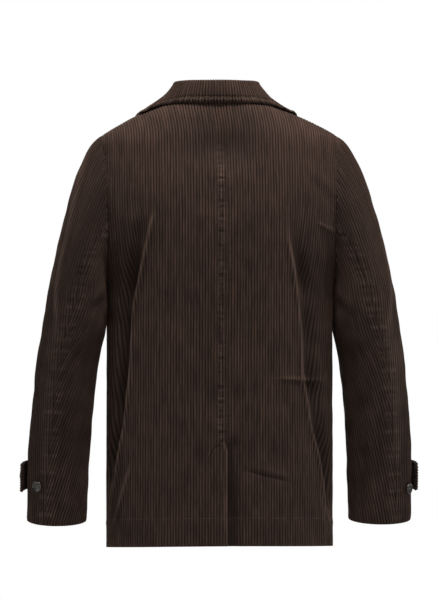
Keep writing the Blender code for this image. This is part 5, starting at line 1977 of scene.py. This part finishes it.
def front_seat(across, level):
    """Seat and facing of a button on the over front."""
    own = np.array([-across])
    out = front_out(own, True) + drape(np.array([across]), np.array([level]), 1)[0]
    seat = on_trunk(np.array([across]), np.array([level]), 1, out + FRONT_STAND)[0]
    beyond = on_trunk(np.array([across]), np.array([level]), 1, out + FRONT_STAND + 0.01)[0]
    return seat, unit(beyond - seat)


# ---- topstitching -----------------------------------------------------------------------------------------

STITCH_LONG = 0.0030
STITCH_EVERY = 0.0042
THREAD_THICK = 0.00042
STITCH_SUNK = 0.0001
# How many points a line of stitches is led by, along a lapel and its top, and along a strap and its end.
LAPEL_POINTS = (140, 60)
STRAP_POINTS = (90, 40)


def model_stitch():
    """One stitch: a short thread, thick in the middle, with its ends going down into the cloth."""
    bpy.ops.object.select_all(action="DESELECT")
    bpy.ops.mesh.primitive_uv_sphere_add(segments=6, ring_count=4, radius=1.0, rotation=(0, np.pi / 2, 0))
    made = bpy.context.object
    bpy.ops.object.transform_apply(location=True, rotation=True, scale=True)
    bpy.ops.object.mode_set(mode="EDIT")
    bpy.ops.mesh.select_all(action="SELECT")
    bpy.ops.transform.resize(value=(STITCH_LONG / 2, THREAD_THICK, THREAD_THICK))
    bpy.ops.object.mode_set(mode="OBJECT")
    made.name = "stitch_pattern"
    return made


def surface_run(surface, across, along, cloth=CLOTH):
    """A line over a cloth's middle, and the direction out of the cloth along it."""
    face, back = surface(across, along)[:2]
    outward = unit(face - back)
    return back + outward * (cloth - STITCH_SUNK), outward


def read_line(at, run, line):
    """Points of a line, or directions kept with it, at these distances along it."""
    return np.stack([np.interp(at, run, column) for column in line.T], axis=-1)


def sew_rows(pattern, runs, name, thread):
    """Rows of stitches along these lines, as one piece of thread work."""
    shape = np.array([point.co for point in pattern.data.vertices])
    faces = [list(face.vertices) for face in pattern.data.polygons]
    points, made_faces = [], []
    count = 0
    for line, outward in runs:
        run = run_of(line)
        stops = np.arange(STITCH_EVERY / 2, run[-1], STITCH_EVERY)
        seat = read_line(stops, run, line)
        ahead = read_line(stops + 0.001, run, line) - read_line(stops - 0.001, run, line)
        up = unit(read_line(stops, run, outward))
        ahead = unit(ahead - up * (ahead * up).sum(axis=-1, keepdims=True))
        beside = np.cross(up, ahead)
        for k in range(len(stops)):
            points.append(seat[k] + shape @ np.stack([ahead[k], beside[k], up[k]]))
            made_faces += [[v + count for v in face] for face in faces]
            count += len(shape)
    mesh = bpy.data.meshes.new(name)
    mesh.from_pydata(np.concatenate(points).tolist(), [], made_faces)
    mesh.materials.append(thread)
    mesh.shade_smooth()
    return linked(name, mesh)


def back_rows(panel):
    """The back's rows: beside the centre seam, down the vent's edge, and round the hem."""
    def surface(across, rows):
        return back_surface(panel, across, rows)

    side = panel.side
    edge = float(vent_edge(np.array([HEM]), side)[0])
    hem = np.linspace(edge + 0.004, panel.limit(np.array([HEM]))[0] - 0.002, 200)
    runs = [surface_run(surface, hem, np.full_like(hem, HEM + HEM_TURN))]
    if side < 0:
        down = np.linspace(-0.045, VENT_TOP + 0.006, 260)
        runs.append(surface_run(surface, np.full_like(down, CENTRE_STITCH), down))
        down = np.linspace(VENT_TOP - 0.004, HEM + 0.004, 100)
        runs.append(surface_run(surface, vent_edge(down, side) + EDGE_STITCH, down))
    return runs


def front_rows(panel):
    """A front's rows: beside its edge, and round the hem."""
    def surface(across, rows):
        return front_surface(panel, across, rows)

    hem = np.linspace(-FRONT_LAP + 0.010, panel.limit(np.array([HEM]))[0] - 0.002, 200)
    down = np.linspace(BREAK_LEVEL - 0.012, HEM + 0.004, 200)
    return [surface_run(surface, hem, np.full_like(hem, HEM + HEM_TURN)),
            surface_run(surface, np.full_like(down, -FRONT_LAP + EDGE_STITCH), down)]


def sleeve_rows(panel):
    """The row beside the elbow seam, on the top sleeve."""
    level = np.linspace(-0.222, CUFF + 0.004, 240)
    across = np.interp(level, panel.level, panel.high) - STITCH_IN
    return [surface_run(lambda x, y: sleeve_surface(panel, x, y), across, level)]


def lapel_rows(side):
    """The row inside a lapel's outer edge and along its top."""
    up, over = LAPEL_POINTS
    share = np.linspace(0.015, 1 - EDGE_STITCH / LAPEL_LONG, up)
    across = np.linspace(EDGE_STITCH, lapel_ends(np.array([1.0]))[2][0] - 0.004, over)
    along = np.concatenate([share, np.full(over - 1, share[-1])])
    inward = np.concatenate([np.full(up, EDGE_STITCH), across[1:]])
    return [surface_run(lambda x, y: lapel_surface(side, x, y), inward, along)]


def strap_rows(side):
    """The row round a strap, inside its edges and its cut-off corners."""
    inner = STRAP_HALF - EDGE_STITCH
    tip = STRAP_TIP - np.degrees(EDGE_STITCH / ARM_RADIUS)
    long, end = STRAP_POINTS
    out = np.linspace(STRAP_ROOT + 2, tip, long)
    turn = np.concatenate([out, np.full(end, tip), np.linspace(tip, STRAP_ROOT + 2, long)])
    across = np.concatenate([np.full(long, inner), np.linspace(inner, -inner, end), np.full(long, -inner)])
    return [surface_run(lambda x, y: strap_surface(side, x, y), across, turn, STRAP_WALL + 0.0003)]


# ---- finishes ---------------------------------------------------------------------------------------------

# Painted shade, for the wales' grooves and for folds and hollows.
SHADE_BROWN = (0.0125, 0.0076, 0.0057)
PILE_BROWN = (0.055, 0.0333, 0.0248)
# The paler brown of pile worn beside puckered seams and of painted highlights.
WORN_AND_HIGHLIGHT_BROWN = (0.118, 0.080, 0.064)
HORN_DARK = (0.007, 0.006, 0.006)
HORN_PALE = (0.040, 0.035, 0.032)


class Finish:
    """A node material of its own, built up from small named steps."""

    def __init__(self, name):
        self.material = bpy.data.materials.new(name)
        self.material.use_nodes = True
        self.tree = self.material.node_tree
        self.shader = self.tree.nodes["Principled BSDF"]

    def node(self, kind, **values):
        made = self.tree.nodes.new(kind)
        for key, value in values.items():
            setattr(made, key, value)
        return made

    def feed(self, source, socket):
        if hasattr(source, "is_output"):
            self.tree.links.new(source, socket)
        else:
            socket.default_value = source

    def set_values(self, values):
        """Sets plain values of the shader, by the names of its inputs."""
        for name, value in values.items():
            self.shader.inputs[name].default_value = value

    def kept(self, name):
        """The three numbers that a cloth keeps with its points."""
        read = self.node("ShaderNodeAttribute", attribute_name=name)
        split = self.node("ShaderNodeSeparateXYZ")
        self.feed(read.outputs["Vector"], split.inputs[0])
        return split.outputs

    def math(self, operation, *values, clamp=False):
        made = self.node("ShaderNodeMath", operation=operation, use_clamp=clamp)
        for socket, value in zip(made.inputs, values):
            self.feed(value, socket)
        return made.outputs[0]

    def place(self, x, y, z=0.0):
        made = self.node("ShaderNodeCombineXYZ")
        for socket, value in zip(made.inputs, (x, y, z)):
            self.feed(value, socket)
        return made.outputs[0]

    def grain(self, where, scale, detail, roughness, low, high):
        """Soft noise stretched to run from 0 to 1."""
        made = self.node("ShaderNodeTexNoise")
        self.feed(where, made.inputs["Vector"])
        made.inputs["Scale"].default_value = scale
        made.inputs["Detail"].default_value = detail
        made.inputs["Roughness"].default_value = roughness
        return self.between(made.outputs[0], low, high)

    def fibres(self, across, along, fine, long, low, high):
        """Soft noise drawn out along the wales: so many grains a metre across them and along them."""
        where = self.place(self.math("MULTIPLY", across, fine), self.math("MULTIPLY", along, long))
        return self.grain(where, 1.0, 2.0, 0.6, low, high)

    def sum_of(self, *shares, base=0.0):
        """Values added up, each times its share."""
        total = base
        for value, share in shares:
            total = self.math("ADD", self.math("MULTIPLY", value, share), total)
        return total

    def between(self, value, low, high, to_low=0.0, to_high=1.0):
        made = self.node("ShaderNodeMapRange", clamp=True)
        for socket, number in zip(made.inputs, (value, low, high, to_low, to_high)):
            self.feed(number, socket)
        return made.outputs[0]

    def blend(self, share, first, second, kind="MIX"):
        made = self.node("ShaderNodeMix", data_type="RGBA", blend_type=kind)
        self.feed(share, made.inputs[0])
        for socket, colour in zip(made.inputs[6:8], (first, second)):
            self.feed((*colour, 1.0) if isinstance(colour, tuple) else colour, socket)
        return made.outputs[2]

    def raise_by(self, height, distance, strength):
        made = self.node("ShaderNodeBump")
        made.inputs["Strength"].default_value = strength
        made.inputs["Distance"].default_value = distance
        self.feed(height, made.inputs["Height"])
        return made.outputs[0]


def corduroy_finish():
    """Cut pile in wales: painted shade in the grooves, a soft sheen on the crests, uneven nap, rubbed seams,
    and the painted highlights and painted shade that the cloth keeps with its points.
    """
    make = Finish("corduroy_jumbo_brown")
    across, along, wale = make.kept("lay")
    highlight, puckered, deep = make.kept("light_and_wear")
    here = make.node("ShaderNodeTexCoord").outputs["Object"]
    nap = make.grain(here, 17.0, 3.0, 0.55, 0.36, 0.66)
    crushed = make.grain(here, 60.0, 2.0, 0.5, 0.40, 0.72)
    tufts = make.fibres(across, along, 900.0, 330.0, 0.30, 0.70)
    strokes = make.fibres(across, along, 230.0, 20.0, 0.36, 0.64)
    # The grooves between the wales are painted in shade, the crests in the pile's own brown.
    crest = make.between(wale, 0.30, 0.98)
    cloth = make.blend(crest, SHADE_BROWN, PILE_BROWN)
    lit = make.sum_of((nap, 0.24), (crushed, 0.10), (strokes, 0.55), (tufts, 0.26), base=0.43)
    cloth = make.blend(1.0, cloth, make.place(lit, lit, lit), "MULTIPLY")
    # Pile worn paler on the wales beside puckered seams, and painted highlights on crests, creases and rolled
    # edges.
    worn = make.math("MULTIPLY", make.math("MULTIPLY", puckered, crest), make.between(strokes, 0.25, 0.85))
    highlight_amount = make.math("MULTIPLY", highlight, make.between(crest, 0.0, 1.0, 0.26, 0.72))
    wear_and_highlight = make.math("ADD", make.math("MULTIPLY", worn, 0.50), highlight_amount, clamp=True)
    cloth = make.blend(wear_and_highlight, cloth, WORN_AND_HIGHLIGHT_BROWN)
    # Painted shade in and beside the folds, beside the vent and over the sleeves.
    cloth = make.blend(make.math("MULTIPLY", deep, 0.62), cloth, SHADE_BROWN)
    make.feed(cloth, make.shader.inputs["Base Color"])
    make.feed(make.between(crest, 0.0, 1.0, 0.95, 0.74), make.shader.inputs["Roughness"])
    make.set_values({"Specular IOR Level": 0.14, "Sheen Weight": 0.10, "Sheen Roughness": 0.45,
                     "Sheen Tint": (0.78, 0.52, 0.41, 1.0)})
    pile = make.sum_of((tufts, 0.7), (strokes, 0.3))
    make.feed(make.raise_by(pile, 0.0006, 0.6), make.shader.inputs["Normal"])
    return make.material


def horn_finish():
    """Polished dark horn: cloudy grey-brown streaks under a clear gloss."""
    make = Finish("button_horn_dark")
    here = make.node("ShaderNodeTexCoord").outputs["Object"]
    clouds = make.grain(here, 160.0, 3.0, 0.6, 0.35, 0.68)
    streaks = make.node("ShaderNodeTexWave", wave_type="BANDS", bands_direction="DIAGONAL")
    make.feed(here, streaks.inputs["Vector"])
    streaks.inputs["Scale"].default_value = 90.0
    streaks.inputs["Distortion"].default_value = 9.0
    streaks.inputs["Detail"].default_value = 2.0
    mixed = make.sum_of((clouds, 0.6), (streaks.outputs[0], 0.4))
    make.feed(make.blend(mixed, HORN_DARK, HORN_PALE), make.shader.inputs["Base Color"])
    make.feed(make.between(clouds, 0.0, 1.0, 0.22, 0.34), make.shader.inputs["Roughness"])
    make.set_values({"Coat Weight": 0.60, "Coat Roughness": 0.07})
    scratches = make.grain(here, 1400.0, 2.0, 0.6, 0.3, 0.7)
    make.feed(make.raise_by(scratches, 0.00004, 0.4), make.shader.inputs["Normal"])
    return make.material


def thread_finish(name, dark, light):
    """Waxed sewing thread, with its twist."""
    make = Finish(name)
    here = make.node("ShaderNodeTexCoord").outputs["Object"]
    twist = make.node("ShaderNodeTexWave", wave_type="BANDS", bands_direction="DIAGONAL")
    make.feed(here, twist.inputs["Vector"])
    twist.inputs["Scale"].default_value = 1500.0
    make.feed(make.blend(twist.outputs[0], dark, light), make.shader.inputs["Base Color"])
    make.set_values({"Roughness": 0.62})
    make.feed(make.raise_by(twist.outputs[0], 0.00008, 0.6), make.shader.inputs["Normal"])
    return make.material


def stage_finish():
    """Pale studio paper that looks as bright as the room."""
    make = Finish("studio_paper")
    ray = make.node("ShaderNodeLightPath")
    make.set_values({"Base Color": (0.55, 0.55, 0.55, 1.0), "Roughness": 0.95,
                     "Emission Color": (1.0, 1.0, 1.0, 1.0)})
    seen = make.between(ray.outputs["Is Camera Ray"], 0.0, 1.0, 0.0, 0.80)
    make.feed(seen, make.shader.inputs["Emission Strength"])
    return make.material


# ---- the coat, its stage and its light --------------------------------------------------------------------

corduroy = corduroy_finish()


def stands_for(piece, node):
    """Puts a piece in the place of its node."""
    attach(piece, "root")
    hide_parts(node)


cloths = {}
panels = {}
for side, word in SIDES.items():
    cloths[f"back_{word}"], panels[f"back_{word}"] = back_panel(side, corduroy)
    cloths[f"front_{word}"], panels[f"front_{word}"] = front_panel(side, corduroy)
    for part in ("top", "under"):
        node = f"sleeve_{part}_{word}"
        cloths[node], panels[node] = sleeve_panel(side, part, corduroy)
    cloths[f"lapel_{word}"] = lapel(side, corduroy)
    cloths[f"cuff_strap_{word}"] = cuff_strap(side, corduroy)
cloths["collar"], collar_run = collar(corduroy)
for node, piece in cloths.items():
    stands_for(piece, node)

thread = thread_finish("sewing_thread_brown", (0.030, 0.020, 0.016), (0.080, 0.056, 0.045))
stitch = model_stitch()
rows_of = {"collar": [collar_run]}
for side, word in SIDES.items():
    rows_of[f"back_{word}"] = back_rows(panels[f"back_{word}"])
    rows_of[f"front_{word}"] = front_rows(panels[f"front_{word}"])
    rows_of[f"sleeve_top_{word}"] = sleeve_rows(panels[f"sleeve_top_{word}"])
    rows_of[f"lapel_{word}"] = lapel_rows(side)
    rows_of[f"cuff_strap_{word}"] = strap_rows(side)
stitching = {}
for node, runs in rows_of.items():
    stitching[node] = sew_rows(stitch, runs, f"{node}_topstitching", thread)
    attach(stitching[node], "root")
bpy.data.objects.remove(stitch, do_unlink=True)

button_thread = thread_finish("button_thread_grey", (0.110, 0.098, 0.088), (0.300, 0.275, 0.250))
pattern = model_button(horn_finish(), button_thread)
front_places = [(across, level) for level in FRONT_BUTTON_LEVELS for across in FRONT_BUTTON_ACROSS]
for number, (place, turned) in enumerate(zip(front_places, BUTTON_TURNS), 1):
    node = f"front_button_{number}"
    sewn_on = set_button(pattern, f"{node}_horn", LARGE_BUTTON, *front_seat(*place), turned)
    stands_for(sewn_on, node)
for side, word in SIDES.items():
    on_strap = strap_clearance(STRAP_BUTTON_TURN) + STRAP_WALL + SLEEVE_STAND
    seats = (
        (f"strap_button_{word}", STRAP_BUTTON_TURN, STRAP_MIDDLE, on_strap, STRAP_BUTTON_SPIN),
        (f"cuff_button_{word}", *CUFF_BUTTON[word], SLEEVE_STAND, CUFF_BUTTON_SPIN * side),
    )
    for node, turn, level, stand_off, turned in seats:
        seat = sleeve_seat(side, turn, level, stand_off)
        sewn_on = set_button(pattern, f"{node}_horn", SMALL_BUTTON, *seat, turned)
        stands_for(sewn_on, node)
bpy.data.objects.remove(pattern, do_unlink=True)

CAMERA_AWAY = 6.0
CAMERA_TURN = np.radians(4.8)
CAMERA_LEVEL = -0.3300
CAMERA_LENS = 218.0
FLOOR_LEVEL = -1.05
# The room's strength where it lights the coat; it looks as bright as 1.
ROOM_LIGHT = 0.12

WHITE = (1.0, 1.0, 1.0)
# Each light's name, place, aim, size, power and colour.
LIGHTS = (
    ("key", (0.55, -2.6, 2.5), (0.0, 0.0, -0.30), (1.4, 1.0), 16.2, WHITE),
    ("fill", (0.5, -4.0, -0.7), (0.0, 0.0, -0.5), (1.6, 1.6), 21.0, WHITE),
    ("crown", (0.05, -0.60, 1.65), (0.0, -0.05, 0.0), (0.5, 0.3), 53.0, (1.0, 0.92, 0.87)),
    ("front", (0.0, 3.6, 0.3), (0.0, 0.0, -0.4), (2.2, 1.8), 84.0, WHITE),
    ("left", (-3.2, -0.1, -0.1), (-0.2, 0.0, -0.38), (1.4, 1.4), 11.0, WHITE),
    ("right", (3.2, -0.1, -0.1), (0.2, 0.0, -0.38), (1.4, 1.4), 16.0, WHITE),
)


def add_light(name, place, aim, size, power, colour):
    """A soft rectangular light, turned to its aim."""
    light = bpy.data.lights.new(name, "AREA")
    light.shape = "RECTANGLE"
    light.size, light.size_y = size
    light.energy = power
    light.color = colour
    made = linked(name, light)
    made.location = place
    made.rotation_euler = (Vector(aim) - Vector(place)).to_track_quat("-Z", "Y").to_euler()


def set_camera():
    """A long lens behind the coat, a little to its left."""
    lens = bpy.data.cameras.new("studio_camera")
    lens.lens = CAMERA_LENS
    made = linked("studio_camera", lens)
    made.location = (-CAMERA_AWAY * np.sin(CAMERA_TURN), -CAMERA_AWAY * np.cos(CAMERA_TURN), CAMERA_LEVEL)
    made.rotation_euler = (np.pi / 2, 0.0, -CAMERA_TURN)
    bpy.context.scene.camera = made


def lay_floor():
    """A pale sheet of paper, far enough below and behind to stay even."""
    bpy.ops.object.select_all(action="DESELECT")
    bpy.ops.mesh.primitive_plane_add(size=5.0, location=(0.0, 0.0, FLOOR_LEVEL))
    made = bpy.context.object
    made.name = "studio_floor"
    made.data.materials.append(stage_finish())
    bpy.ops.object.transform_apply(location=True, rotation=True, scale=True)


def set_world():
    """A white room that lights the coat less strongly than it looks."""
    world = bpy.data.worlds.new("studio_light")
    bpy.context.scene.world = world
    world.use_nodes = True
    tree = world.node_tree
    ray = tree.nodes.new("ShaderNodeLightPath")
    level = tree.nodes.new("ShaderNodeMapRange")
    level.inputs["To Min"].default_value = ROOM_LIGHT
    level.inputs["To Max"].default_value = 1.0
    tree.links.new(ray.outputs["Is Camera Ray"], level.inputs["Value"])
    tree.nodes["Background"].inputs["Color"].default_value = (1.0, 1.0, 1.0, 1.0)
    tree.links.new(level.outputs["Result"], tree.nodes["Background"].inputs["Strength"])


bpy.context.scene.view_settings.view_transform = "Standard"
set_camera()
lay_floor()
set_world()
for light in LIGHTS:
    add_light(*light)
